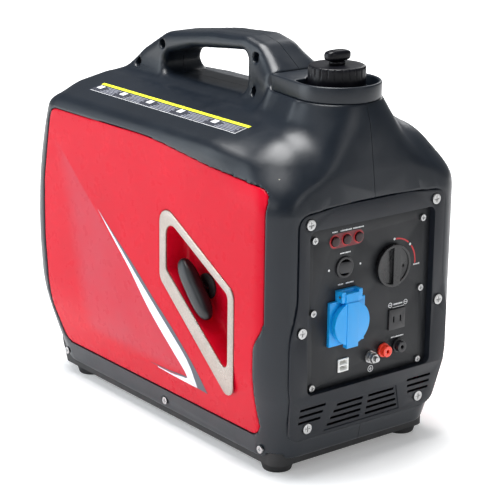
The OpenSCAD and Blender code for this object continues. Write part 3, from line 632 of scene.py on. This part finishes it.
def metal(name, colour, rough, stretch=(1, 1, 1), scale=420, metallic=1.0, stain=None, relief=0.04):
    """Bare or plated metal with fine machining marks and patches of duller finish."""
    g = Graph(name)
    g.shader.inputs["Metallic"].default_value = metallic
    marks = g.noise(scale, 4, stretch)
    patches = g.noise(30, 5)
    base = g.ramp(marks, 0.3, 0.7, shade(colour, 0.82), shade(colour, 1.1))
    base = g.mix(g.ramp(patches, 0.5, 0.75, 0.0, 0.5), base, stain or shade(colour, 0.7))
    g.colour(base)
    g.roughness(g.ramp(patches, 0.3, 0.7, rough - 0.08, rough + 0.12))
    g.bump([(marks, relief, 0.5)])
    return g.material


def painted_panel(name, colour):
    """Glossy red panel: even gloss with slight ripple, and a paler printed field behind the stripe."""
    g = Graph(name)
    g.shader.inputs["Coat Weight"].default_value = 0.0
    g.shader.inputs["Coat Roughness"].default_value = 0.14
    g.shader.inputs["Specular IOR Level"].default_value = 0.1
    broad = g.noise(5, 3)
    base = g.ramp(broad, 0.3, 0.7, shade(colour, 0.93), shade(colour, 1.06))
    # the printed field: a soft-edged triangle on the starter's side
    part = g.add("ShaderNodeSeparateXYZ")
    g.link(g.place, part.inputs[0])
    y, z = part.outputs[1], part.outputs[2]

    def ramp_plane(socket_a, ka, socket_b, kb, start, width):
        """0 to 1 as ka*a + kb*b passes start."""
        a = g.add("ShaderNodeMath", operation="MULTIPLY")
        g.link(socket_a, a.inputs[0])
        a.inputs[1].default_value = ka
        b = g.add("ShaderNodeMath", operation="MULTIPLY_ADD")
        g.link(socket_b, b.inputs[0])
        b.inputs[1].default_value = kb
        g.link(a.outputs[0], b.inputs[2])
        return g.ramp(b.outputs[0], start, start + width, 0.0, 1.0)

    # the stripe slopes from STRIPE_TOP down to the front, and the field begins 4 mm behind it
    across_y, across_z = 0.634, -0.773
    top_y, top_z = (STRIPE_TOP[0] + FRONT_Y) * MM, STRIPE_TOP[1] * MM
    behind = ramp_plane(y, across_y, z, across_z, top_y * across_y + top_z * across_z + 0.004, 0.002)
    fade = ramp_plane(y, -1.0, z, 0.25, 0.02 - (372 + FRONT_Y) * MM, 0.03)
    above = ramp_plane(z, 1.0, y, 0.0, 0.075, 0.012)
    left = ramp_plane(part.outputs[0], -1.0, y, 0.0, 0.05, 0.01)
    field = g.math("MULTIPLY", g.math("MULTIPLY", behind, fade), g.math("MULTIPLY", above, left))
    field = g.math("MULTIPLY", field, g.ramp(g.noise(18, 3), 0.3, 0.8, 0.35, 0.6))
    base = g.mix(field, base, (0.40, 0.06, 0.085))
    base = g.mix(g.math("MULTIPLY", g.edges(), 0.3), base, shade(colour, 1.25))
    g.colour(base)
    g.roughness(g.ramp(g.noise(60, 5), 0.25, 0.75, 0.24, 0.34))
    g.bump([(g.noise(9, 2), 0.5, 0.06), (g.noise(700, 2), 0.02, 0.3)])
    return g.material


def ink(name, colour, rough=0.45):
    """Printing: slightly uneven ink."""
    g = Graph(name)
    patches = g.noise(160, 4)
    g.colour(g.ramp(patches, 0.3, 0.7, shade(colour, 0.86), colour))
    g.roughness(g.ramp(patches, 0.3, 0.7, rough, rough + 0.12))
    g.bump([(g.noise(900, 2), 0.03, 0.4)])
    return g.material


def braid(name, colour):
    g = Graph(name)
    g.shader.inputs["Sheen Weight"].default_value = 0.3
    wave = g.add("ShaderNodeTexWave", bands_direction="DIAGONAL")
    wave.inputs["Scale"].default_value = 300
    wave.inputs["Distortion"].default_value = 1.5
    g.link(g.place, wave.inputs["Vector"])
    g.colour(g.ramp(wave.outputs["Fac"], 0.2, 0.8, shade(colour, 0.5), shade(colour, 1.5)))
    g.roughness(g.ramp(g.noise(300), 0.3, 0.7, 0.8, 0.95))
    g.bump([(wave.outputs["Fac"], 0.4, 0.8)])
    return g.material


def make_materials():
    """A material for each slot and each print, by name."""
    made = [
        moulded("case_plastic", (0.0055, 0.0085, 0.0135), 0.34, grain=0.08, sheen=0.36, wear=0.12),
        moulded("front_plastic", (0.0045, 0.0065, 0.0110), 0.40, grain=0.08, sheen=0.30, wear=0.12),
        moulded("pan_plastic", (0.009, 0.009, 0.010), 0.6, wear=0.12),
        painted_panel("red_panel", (0.50, 0.002, 0.016)),
        metal("bezel_trim", (0.34, 0.30, 0.27), 0.32, scale=500, metallic=0.75,
              stain=(0.28, 0.24, 0.21), relief=0.01),
        moulded("panel_face", (0.008, 0.009, 0.011), 0.5, grain=0.06, wear=0.05, sheen=0.36),
        rubbery("rubber", (0.007, 0.007, 0.008), 0.75),
        metal("black_screw", (0.10, 0.10, 0.11), 0.42, metallic=0.9),
        metal("zinc_screw", (0.42, 0.42, 0.42), 0.32, stain=(0.40, 0.39, 0.36)),
        moulded("cap_plastic", (0.002, 0.002, 0.004), 0.34, grain=0.04, sheen=0.2, wear=0.06),
        moulded("tank_plastic", (0.62, 0.59, 0.5), 0.45, wear=0.0),
        metal("steel", (0.6, 0.6, 0.61), 0.3, stretch=(1, 1, 12)),
        moulded("strainer_plastic", (0.03, 0.12, 0.35), 0.4),
        moulded("knob_plastic", (0.005, 0.005, 0.006), 0.26, grain=0.02, wear=0.06),
        moulded("switch_plastic", (0.006, 0.006, 0.008), 0.36, grain=0.03, wear=0.1),
        moulded("socket_blue", (0.002, 0.30, 0.74), 0.34, grain=0.03, coat=0.15, wear=0.12, mottle=0.05),
        metal("brass", (0.75, 0.56, 0.26), 0.25),
        moulded("usb_plastic", (0.80, 0.80, 0.77), 0.38, wear=0.0, mottle=0.04),
        moulded("terminal_red", (0.75, 0.035, 0.012), 0.3, grain=0.02, coat=0.2, wear=0.1),
        moulded("lens_red", (0.020, 0.001, 0.002), 0.16, grain=0.01, coat=0.1, wear=0.0, sheen=0.3),
        moulded("grip_rubber", (0.005, 0.006, 0.008), 0.36, grain=0.05, sheen=0.42, wear=0.08),
        braid("rope_cord", (0.05, 0.05, 0.055)),
        moulded("guide_plastic", (0.42, 0.41, 0.37), 0.45),
        metal("cast_iron", (0.16, 0.16, 0.165), 0.55, scale=200, relief=0.2),
        metal("copper_winding", (0.55, 0.22, 0.09), 0.35, stretch=(1, 14, 1)),
        metal("engine_aluminium", (0.58, 0.58, 0.59), 0.5, scale=160, relief=0.25),
        moulded("plug_ceramic", (0.75, 0.75, 0.72), 0.15, coat=0.5, wear=0.0),
        metal("muffler_steel", (0.36, 0.32, 0.28), 0.5, stain=(0.24, 0.14, 0.08)),
        metal("inverter_aluminium", (0.5, 0.5, 0.52), 0.45, scale=260),
        ink("print_white", (0.72, 0.73, 0.74)),
        ink("print_red", (0.55, 0.02, 0.025)),
        ink("label_black", (0.03, 0.032, 0.045), 0.35),
        ink("label_yellow", (0.80, 0.82, 0.03), 0.35),
        ink("label_text", (0.30, 0.31, 0.36), 0.4),
        metal("stripe_silver", (0.66, 0.70, 0.78), 0.34, scale=300, metallic=0.35,
              stain=(0.55, 0.6, 0.7), relief=0.01),
        ink("stripe_dark", (0.035, 0.05, 0.07), 0.3),
        ink("lamp_field", (0.16, 0.012, 0.018), 0.4),
    ]
    # a name that the frame uses already gets a number added
    return {material.name.split(".")[0]: material for material in made}


MATERIALS = make_materials()


def dress_nodes():
    """Gives every CAD node the material of its slot."""
    for name, node in NODES.items():
        material = MATERIALS[slot_of_node(name)]
        if not node.material_slots:
            node.data.materials.append(material)
        for slot in node.material_slots:
            slot.material = material


# ------------------------------------------------------------------ the moulded body

def with_screw_holes(x, y, z):
    solid = housing(x, y, z)
    for y0, z0 in HANDLE_SCREWS:
        solid = carve(solid, np.maximum(rod(y, z, y0, z0, 5.6), x + 10))
    return solid


def make_housing(step):
    """Both halves from one distance function, parted down the middle by a narrow seam."""
    low = (-HALF_W - step * 1.5, -2, BASE_Z - 3)
    high = (HALF_W + step * 1.5, BODY_L + 2, HANDLE_Z + 3)
    whole = thinned(new_object("moulding", *surface_net(with_screw_holes, low, high, step)), HOUSING_KEPT)
    for node, side in (("housing_left", -1), ("housing_right", 1)):
        bm = bmesh.new()
        bm.from_mesh(whole.data)
        cut = bmesh.ops.bisect_plane(bm, geom=bm.verts[:] + bm.edges[:] + bm.faces[:], dist=1e-7,
                                     plane_co=(side * SEAM * MM, 0, 0), plane_no=(-side, 0, 0),
                                     clear_outer=True)
        rim = [e for e in cut["geom_cut"] if isinstance(e, bmesh.types.BMEdge)]
        walls = bmesh.ops.triangle_fill(bm, edges=rim, use_beauty=False, normal=(-side, 0, 0))
        for face in walls["geom"]:
            if isinstance(face, bmesh.types.BMFace):
                face.smooth = False
        bmesh.ops.recalc_face_normals(bm, faces=bm.faces)
        mesh = bpy.data.meshes.new(node + "_moulding")
        bm.to_mesh(mesh)
        bm.free()
        mesh.set_sharp_from_angle(angle=SHARP)
        stands_for(placed(node + "_moulding", mesh), node)
    bpy.data.objects.remove(whole)


def make_side_panels(step):
    for node, side, distance in (("side_panel_left", -1, skin_with_pocket), ("side_panel_right", 1, skin)):
        reach = (SIDE_ZONE - 1, HALF_W + 1)
        low = (-reach[1] if side < 0 else reach[0], 18, 40)
        high = (-reach[0] if side < 0 else reach[1], 460, 350)
        thing = new_object(node + "_skin", *surface_net(distance, low, high, step))
        stands_for(thinned(thing, PANEL_KEPT), node)


# ------------------------------------------------------------------ printing and labels

def on_surface(distance, point, way, reach=30.0, lift=0.12):
    """Moves points along an axis, from outside, until they meet the surface."""
    point = np.array(point, float)
    axis = np.array(way, float)
    near, far = np.zeros(len(point)), np.full(len(point), reach)
    for _ in range(26):
        middle = (near + far) / 2
        at = point - axis * middle[:, None]
        hit = distance(at[:, 0], at[:, 1], at[:, 2]) < 0
        far, near = np.where(hit, middle, far), np.where(hit, near, middle)
    return point - axis * (near - lift)[:, None]


def plate(name, strips, material, thick=0.1, way=(0, 1, 0)):
    """A thin raised print: a grid of points for each strip, with a skirt down to the surface."""
    points, faces = [], []
    for grid in strips:
        rows, cols = len(grid), len(grid[0])
        start = len(points)
        for lift in (0.0, 1.0):
            for row in grid:
                for p in row:
                    points.append(np.array(p, float) + np.array(way, float) * thick * lift)

        def at(i, j, layer):
            return start + layer * rows * cols + i * cols + j

        for i in range(rows - 1):
            for j in range(cols - 1):
                faces.append((at(i, j, 0), at(i, j + 1, 0), at(i + 1, j + 1, 0), at(i + 1, j, 0)))
                faces.append((at(i, j, 1), at(i + 1, j, 1), at(i + 1, j + 1, 1), at(i, j + 1, 1)))
        rim = [(i, 0) for i in range(rows)] + [(rows - 1, j) for j in range(1, cols)]
        rim += [(i, cols - 1) for i in range(rows - 2, -1, -1)] + [(0, j) for j in range(cols - 2, 0, -1)]
        for k, a in enumerate(rim):
            b = rim[(k + 1) % len(rim)]
            faces.append((at(*a, 0), at(*b, 0), at(*b, 1), at(*a, 1)))
    thing = mended(new_object(name, points, faces, smooth=False))
    thing.data.materials.append(MATERIALS[material])
    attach(thing, "case")
    return thing


PRINT_Y = PANEL_Y - 0.16


def bar(x0, x1, z, height=1.0):
    """A short bar in place of a word on the panel."""
    return [[(x0, PRINT_Y, z - height / 2), (x1, PRINT_Y, z - height / 2)],
            [(x0, PRINT_Y, z + height / 2), (x1, PRINT_Y, z + height / 2)]]


def ring(x, z, r0, r1, start=0, end=360, steps=32):
    """A ring or an arc, from start to end in degrees."""
    angles = [math.radians(start + (end - start) * i / steps) for i in range(steps + 1)]
    return [[(x + r * math.cos(a), PRINT_Y, z + r * math.sin(a)) for r in (r0, r1)] for a in angles]


def words(x0, x1, z, height=1.6):
    """A row of small blocks that stands for a line of print."""
    out, x, i = [], x0, 0
    while x < x1 - 0.5:
        w = (1.5, 1.1, 1.8, 1.3)[i % 4]
        out.append(bar(x, min(x + w, x1), z, height * (0.8, 1.0, 0.9)[i % 3]))
        x += w + 0.5
        i += 1
    return out


def make_panel_print():
    """Rows of blocks in place of words, the signs on the panel, and the arcs and lamps' field in red."""
    white = words(-53, -45.5, 272.5) + words(-41.5, -25.5, 272.5) + words(-23.5, -8, 272.5)
    white += words(-41, -26.5, 247.2)
    white += words(-43, -35, 212.5) + words(-32, -21, 212.5)
    white += [ring(-56.4, 231, 0.05, 1.3, steps=12), ring(-11.8, 231, 0.05, 1.3, steps=12)]
    white += [ring(37.3, 249.9, 0.05, 1.5, steps=12), ring(61, 240.1, 0.05, 1.5, steps=12)]
    white += words(67, 76, 215.5)
    white += [ring(x, TERMINAL_Z, 2.2, 2.9) for x in TERMINAL_X]
    white += [bar(31.8, 37.2, TERMINAL_Z, 0.7), bar(54.9, 60.1, TERMINAL_Z, 0.7), bar(38, 55.5, 170.4, 0.5)]
    white += words(39.5, 53, TERMINAL_Z, 1.9)
    white += words(37.5, 56.5, 135.5)
    white += [ring(8, 105.5, 3.2, 3.9), bar(5.9, 10.1, 105.6, 0.6), bar(6.6, 9.4, 104.5, 0.6),
              bar(7.3, 8.7, 103.4, 0.6), bar(7.7, 8.3, 106.8, 2.0)]
    plate("panel_print_white", white, "print_white")
    red = [ring(KNOB_X, KNOB_Z, 29.4, 31.0, 50, 89), ring(KNOB_X, KNOB_Z, 29.4, 31.0, -5, 38)]
    red += [ring(x, LAMP_Z, 5.8, 6.9) for x in LAMP_X]
    plate("panel_print_red", red, "print_red")
    # a bar with round ends behind the three lamps
    field = [[(x, PRINT_Y + 0.08, LAMP_Z + s * 8.2 * math.sqrt(max(0.0, 1 - t * t))) for s in (-1, 1)]
             for x, t in [(-57.2 + 1.64 * i, max(0.0, abs(i - 15.2) - 10.2) / 5.0) for i in range(31)]]
    plate("lamp_field", [field], "lamp_field", thick=0.05)


def curve_points(points, steps):
    """A smooth line through a few points."""
    pts = [np.array(p, float) for p in points]
    pts = [2 * pts[0] - pts[1]] + pts + [2 * pts[-1] - pts[-2]]
    out = []
    for i in range(1, len(pts) - 2):
        a, b, c, d = pts[i - 1:i + 3]
        for k in range(steps):
            t = k / steps
            out.append(0.5 * (2 * b + (c - a) * t + (2 * a - 5 * b + 4 * c - d) * t * t
                              + (3 * b - a - 3 * c + d) * t ** 3))
    out.append(pts[-2])
    return out


def side_strip(edge_a, edge_b, lift=0.1):
    """A strip between two lines on the starter's side, laid on the panel."""
    across = 4
    a, b = curve_points(edge_a, 10), curve_points(edge_b, 10)
    grid = [[p + (q - p) * j / across for j in range(across + 1)] for p, q in zip(a, b)]
    flat = np.array([(-HALF_W - 10, p[0], p[1]) for row in grid for p in row])
    laid = on_surface(lambda x, y, z: body(x, y, z) + 1.0, flat, (-1, 0, 0), lift=lift)
    return laid.reshape(len(grid), across + 1, 3)


def make_stripe():
    """The printed stripe on the starter's side: dark outside, silver inside, hooked at its foot."""
    outer = [STRIPE_TOP, (301, 216), (260, 188), (220, 158), (178, 128), (147, 99), (127, 69)]
    middle = [STRIPE_TOP, (299, 212), (254, 177), (214, 147), (172, 115), (155, 96), (146, 70)]
    inner = [STRIPE_TOP, (299, 208), (267, 180), (234, 147), (194, 113), (169, 88), (163, 78)]
    plate("stripe_dark", [side_strip(outer, middle),
                                  side_strip([(236, 75), (200, 76), (163, 79)],
                                             [(236, 74.6), (200, 74.3), (166, 76.2)], lift=0.14)],
                  "stripe_dark", way=(-1, 0, 0))
    plate("stripe_silver", [side_strip([(333.7, 238.7)] + middle[1:], inner),
                                    side_strip([(222, 73.6), (190, 73.6), (163, 77.5)],
                                               [(222, 72.6), (185, 70.8), (147, 70)])],
                  "stripe_silver", way=(-1, 0, 0))


def top_strip(x0, x1, y0, y1, lift, cells=(2, 24)):
    """A rectangle laid on the left slope of the top."""
    grid = [(x0 + (x1 - x0) * i / cells[0], y0 + (y1 - y0) * j / cells[1], 400.0)
            for i in range(cells[0] + 1) for j in range(cells[1] + 1)]
    return on_surface(body, np.array(grid), (0, 0, 1), reach=120.0, lift=lift).reshape(
        cells[0] + 1, cells[1] + 1, 3)


def make_label():
    """The label on the slope of the top: a yellow strip over blocks, with no lettering."""
    up = (0, 0, 1)
    field, strip = top_strip(*LABEL_X, *LABEL_Y, 0.05), top_strip(LABEL_X[0], -83.8, *LABEL_Y, 0.12)
    plate("label_field", [field], "label_black", way=up)
    plate("label_strip", [strip], "label_yellow", way=up)
    blocks = [top_strip(-86.0, -93.4, y, y + 9, 0.12, (2, 3)) for y in (162, 226, 286, 340, 388)]
    lines = [top_strip(-100.4, -101.1, 117, 399, 0.12), top_strip(-85, -101.1, 116.2, 117, 0.12, (6, 1))]
    plate("label_blocks", blocks + lines, "print_white", way=up)
    text = []
    for start, end in ((120, 158), (175, 220), (239, 280), (299, 335), (353, 383)):
        for row, x in enumerate((-86.4, -89.0, -91.6, -94.2, -97.2)):
            text.append(top_strip(x, x - 1.0, start + (row * 3) % 5, end - (row * 7) % 9, 0.12, (1, 6)))
    plate("label_lines", text, "label_text", way=up)


# ------------------------------------------------------------------ fuel cap

def closed(name, rings, node):
    """A closed form through rings of points, capped at both ends."""
    faces = tube_faces(len(rings), len(rings[0]))
    thing = mended(new_object(name, [p for ring in rings for p in ring], faces))
    thing.data.set_sharp_from_angle(angle=SHARP)
    stands_for(thing, node)


def turned(profile, count, notch=lambda angle, z: 0.0):
    """Rings of a turned form on the cap's axis, from (radius, height) pairs."""
    rings = []
    for r, z in profile:
        rings.append([((r - notch(a, z)) * math.cos(a), CAP_Y + (r - notch(a, z)) * math.sin(a), z)
                      for a in (2 * math.pi * k / count for k in range(count))])
    return rings


def make_cap():
    """The cap's shell: a smooth skirt with shallow notches and a rolled upper edge."""
    notches = 24

    def notch(angle, z):
        near = abs((angle * notches / (2 * math.pi) + 0.5) % 1 - 0.5)
        return 0.9 * max(0.0, 1 - (near / 0.13) ** 2) * smooth(z, 424, 430) * smooth(-z, -438, -436.5)

    arc = [(28.5 + 3.0 * math.cos(a), 435.0 + 3.0 * math.sin(a))
           for a in (math.radians(d) for d in range(0, 91, 15))]
    profile = [(26.6, 430.5), (26.6, 412.0), (30.7, 412.0), (31.5, 412.9)]
    profile += [(31.5, 413.0 + 2.0 * i) for i in range(11)] + arc
    profile += [(20, 438.0), (3.0, 438.0), (2.5, 437), (2.5, 431.0)]
    closed("cap_shell_moulding", turned(profile, notches * 12, notch), "cap_shell")


def make_vent():
    """The vent knob: a rounded bar on a short stem."""
    sides, levels = 48, 18
    stem = [(2.3, 420.0), (2.3, 438.2), (8.4, 438.35), (9.0, 439.0), (9.0, 441.0), (8.2, 441.8)]
    rings = turned(stem, sides)
    for i in range(1, levels):
        t = -math.cos(math.pi * i / levels)
        reach = (1 - abs(t) ** 3.2) ** (1 / 3.2)
        level = []
        for k in range(sides):
            a = 2 * math.pi * k / sides
            c, s = math.cos(a), math.sin(a)
            r = reach / (abs(c) ** 3.4 + abs(s) ** 3.4) ** (1 / 3.4)
            level.append((16.0 * r * c, CAP_Y + 7.5 * r * s, 447.8 + 6.2 * t))
        rings.append(level)
    closed("vent_knob_moulding", rings, "vent_knob")


# ------------------------------------------------------------------ grip and rope

def make_grip():
    """A pill with a flattened outer face and a pinched waist behind it."""
    centre, tilt = np.array((9.5 - HALF_W, ROPE_Y, ROPE_Z)), math.radians(48)
    along = np.array((0, math.cos(tilt), math.sin(tilt)))
    across = np.array((0, -math.sin(tilt), math.cos(tilt)))
    outward = np.array((-1.0, 0, 0))
    half, radius, rings, sides = 38.5, 11.5, 40, 36
    points = []
    for i in range(rings + 1):
        t = math.cos(math.pi * i / rings)
        reach = (max(0.0, 1 - abs(t) ** 3.4)) ** 0.46
        for k in range(sides):
            a = 2 * math.pi * k / sides
            c, s = math.cos(a), math.sin(a)
            flat = 0.80 if c > 0 else 0.82
            r = radius * reach / (abs(c) ** 2.6 + abs(s) ** 2.6) ** (1 / 2.6)
            points.append(centre + along * half * t + across * r * s + outward * r * c * flat)
    faces = tube_faces(rings + 1, sides)
    # the neck that holds the rope's knot
    neck_rings = [(0.0, 7.5), (6.0, 7.2), (8.0, 6.6), (12.5, 6.6), (14.6, 6.2), (15.2, 5.2)]
    start = len(points)
    for depth, r in neck_rings:
        for k in range(sides):
            a = 2 * math.pi * k / sides
            points.append(centre - outward * depth + along * r * math.cos(a) + across * r * math.sin(a))
    faces += tube_faces(len(neck_rings), sides, start)
    thing = mended(new_object("starter_grip_moulding", points, faces), merge=1e-6)
    thing.data.set_sharp_from_angle(angle=SHARP)
    stands_for(thing, "starter_grip")


def make_rope():
    """The braided rope, which is drawn out between the case and the grip."""
    start, end = -POCKET_X - 12.0, -2.0
    rings, sides = 60, 12
    points = []
    for i in range(rings + 1):
        x = start + (end - start) * i / rings
        for k in range(sides):
            a = 2 * math.pi * k / sides
            r = 2.2 + 0.12 * math.cos(3 * a + x * 1.6)
            points.append((x, ROPE_Y + r * math.cos(a), ROPE_Z + r * math.sin(a)))
    thing = mended(new_object("starter_rope_braid", points, tube_faces(rings + 1, sides)))
    thing.data.materials.append(MATERIALS["rope_cord"])
    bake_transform(thing)
    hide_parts("starter_rope")


# ------------------------------------------------------------------ stage

def make_stage():
    """A white floor and wall, and five soft lights."""
    floor = bpy.data.meshes.new("floor")
    floor.from_pydata([(-6, -6, 0), (6, -6, 0), (6, 6, 0), (-6, 6, 0)], [], [(0, 1, 2, 3)])
    floor_object = placed("floor", floor)
    g = Graph("floor")
    g.colour(g.ramp(g.noise(1.5, 2), 0.3, 0.7, (0.93, 0.93, 0.935), (0.95, 0.95, 0.95)))
    g.roughness(g.ramp(g.noise(3), 0.3, 0.7, 0.7, 0.8))
    g.shader.inputs["Emission Color"].default_value = (1, 1, 1, 1)
    # the far floor glows, so that it runs into the white wall
    reach = g.add("ShaderNodeVectorMath", operation="LENGTH")
    g.link(g.place, reach.inputs[0])
    far = g.ramp(g.math("MULTIPLY", reach.outputs["Value"], 0.2), 0.16, 0.4, 0.22, 0.95)
    g.link(far, g.shader.inputs["Emission Strength"])
    floor.materials.append(g.material)

    world = bpy.data.worlds.new("studio")
    bpy.context.scene.world = world
    world.use_nodes = True
    background = world.node_tree.nodes["Background"]
    background.inputs[0].default_value = (0.93, 0.96, 1.0, 1)
    background.inputs[1].default_value = 0.2
    # the backdrop is a white wall, brighter than the light that it throws on the object
    wall = world.node_tree.nodes.new("ShaderNodeBackground")
    wall.inputs[0].default_value = (1.0, 1.0, 1.0, 1)
    ray = world.node_tree.nodes.new("ShaderNodeLightPath")
    choice = world.node_tree.nodes.new("ShaderNodeMixShader")
    for a, b in ((ray.outputs["Is Camera Ray"], choice.inputs[0]), (background.outputs[0], choice.inputs[1]),
                 (wall.outputs[0], choice.inputs[2])):
        world.node_tree.links.new(a, b)
    world.node_tree.links.new(choice.outputs[0], world.node_tree.nodes["World Output"].inputs[0])
    bpy.context.scene.view_settings.view_transform = "Standard"

    def area(name, place, aim, size, power, colour=(1, 1, 1)):
        light = bpy.data.lights.new(name, "AREA")
        light.shape = "RECTANGLE"
        light.size, light.size_y = size
        light.energy = power
        light.color = colour
        lamp = placed(name, light)
        lamp.location = place
        lamp.rotation_euler = (Vector(aim) - Vector(place)).to_track_quat("-Z", "Y").to_euler()

    area("key", (-2.4, -0.7, 1.5), (0, 0, 0.2), (1.8, 1.4), 15)
    area("front", (0.6, -2.6, 1.2), (0, 0, 0.2), (1.0, 1.0), 8)
    area("top", (-0.1, 0.2, 2.4), (0, 0, 0.2), (1.5, 1.2), 94)
    area("rim", (2.4, 1.6, 1.6), (0, 0, 0.25), (0.8, 1.6), 12)
    area("left", (-1.5, 1.1, 0.8), (0, 0, 0.3), (1.2, 1.6), 22, (0.86, 0.94, 1.0))


def make_camera():
    """The main view, from the front left and a little above."""
    azimuth, elevation, roll = math.radians(-38.319), math.radians(16.898), math.radians(0.712)
    place = Vector((-1.2239, -1.5754, 0.7926))
    back = Vector((math.sin(azimuth) * math.cos(elevation), -math.cos(azimuth) * math.cos(elevation),
                   math.sin(elevation)))
    right = Vector((math.cos(azimuth), math.sin(azimuth), 0))
    turn = Matrix((right, back.cross(right), back)).transposed() @ Matrix.Rotation(roll, 3, "Z")
    data = bpy.data.cameras.new("camera")
    data.sensor_width, data.lens = 36, 126
    data.clip_start, data.clip_end = 0.05, 50
    camera = placed("camera", data)
    camera.matrix_world = Matrix.Translation(place) @ turn.to_4x4()
    bpy.context.scene.camera = camera


# ------------------------------------------------------------------ build

BEVELS = {
    "filler_collar": 1.6, "front_surround": 0.8, "base_pan": 1.2, "rubber_feet": 1.0, "starter_bezel": 1.1,
    "control_panel": 0.3, "rear_grille": 0.8, "front_screws": 0.7, "panel_screws": 0.5, "rail_screws": 0.6,
    "handle_screws": 0.6, "engine_knob": 1.1, "economy_rocker": 0.6,
    "economy_switch": 0.5, "schuko_base": 0.7, "schuko_cover": 1.1, "two_pin_socket": 0.5, "usb_module": 0.4,
    "terminal_red": 0.6, "terminal_black": 0.6, "earth_nuts": 0.4, "earth_stud": 0.3,
    "indicator_lenses": 0.8, "rope_guide": 0.8, "exhaust_outlet": 0.6,
}

make_camera()
dress_nodes()
make_housing(HOUSING_STEP)
make_side_panels(PANEL_STEP)
for node_name, bevel_width in BEVELS.items():
    refined(node_name, bevel_width, 3 if bevel_width > 1 else 2)
make_cap()
make_vent()
make_grip()
make_rope()
make_label()
make_stripe()
make_panel_print()
make_stage()
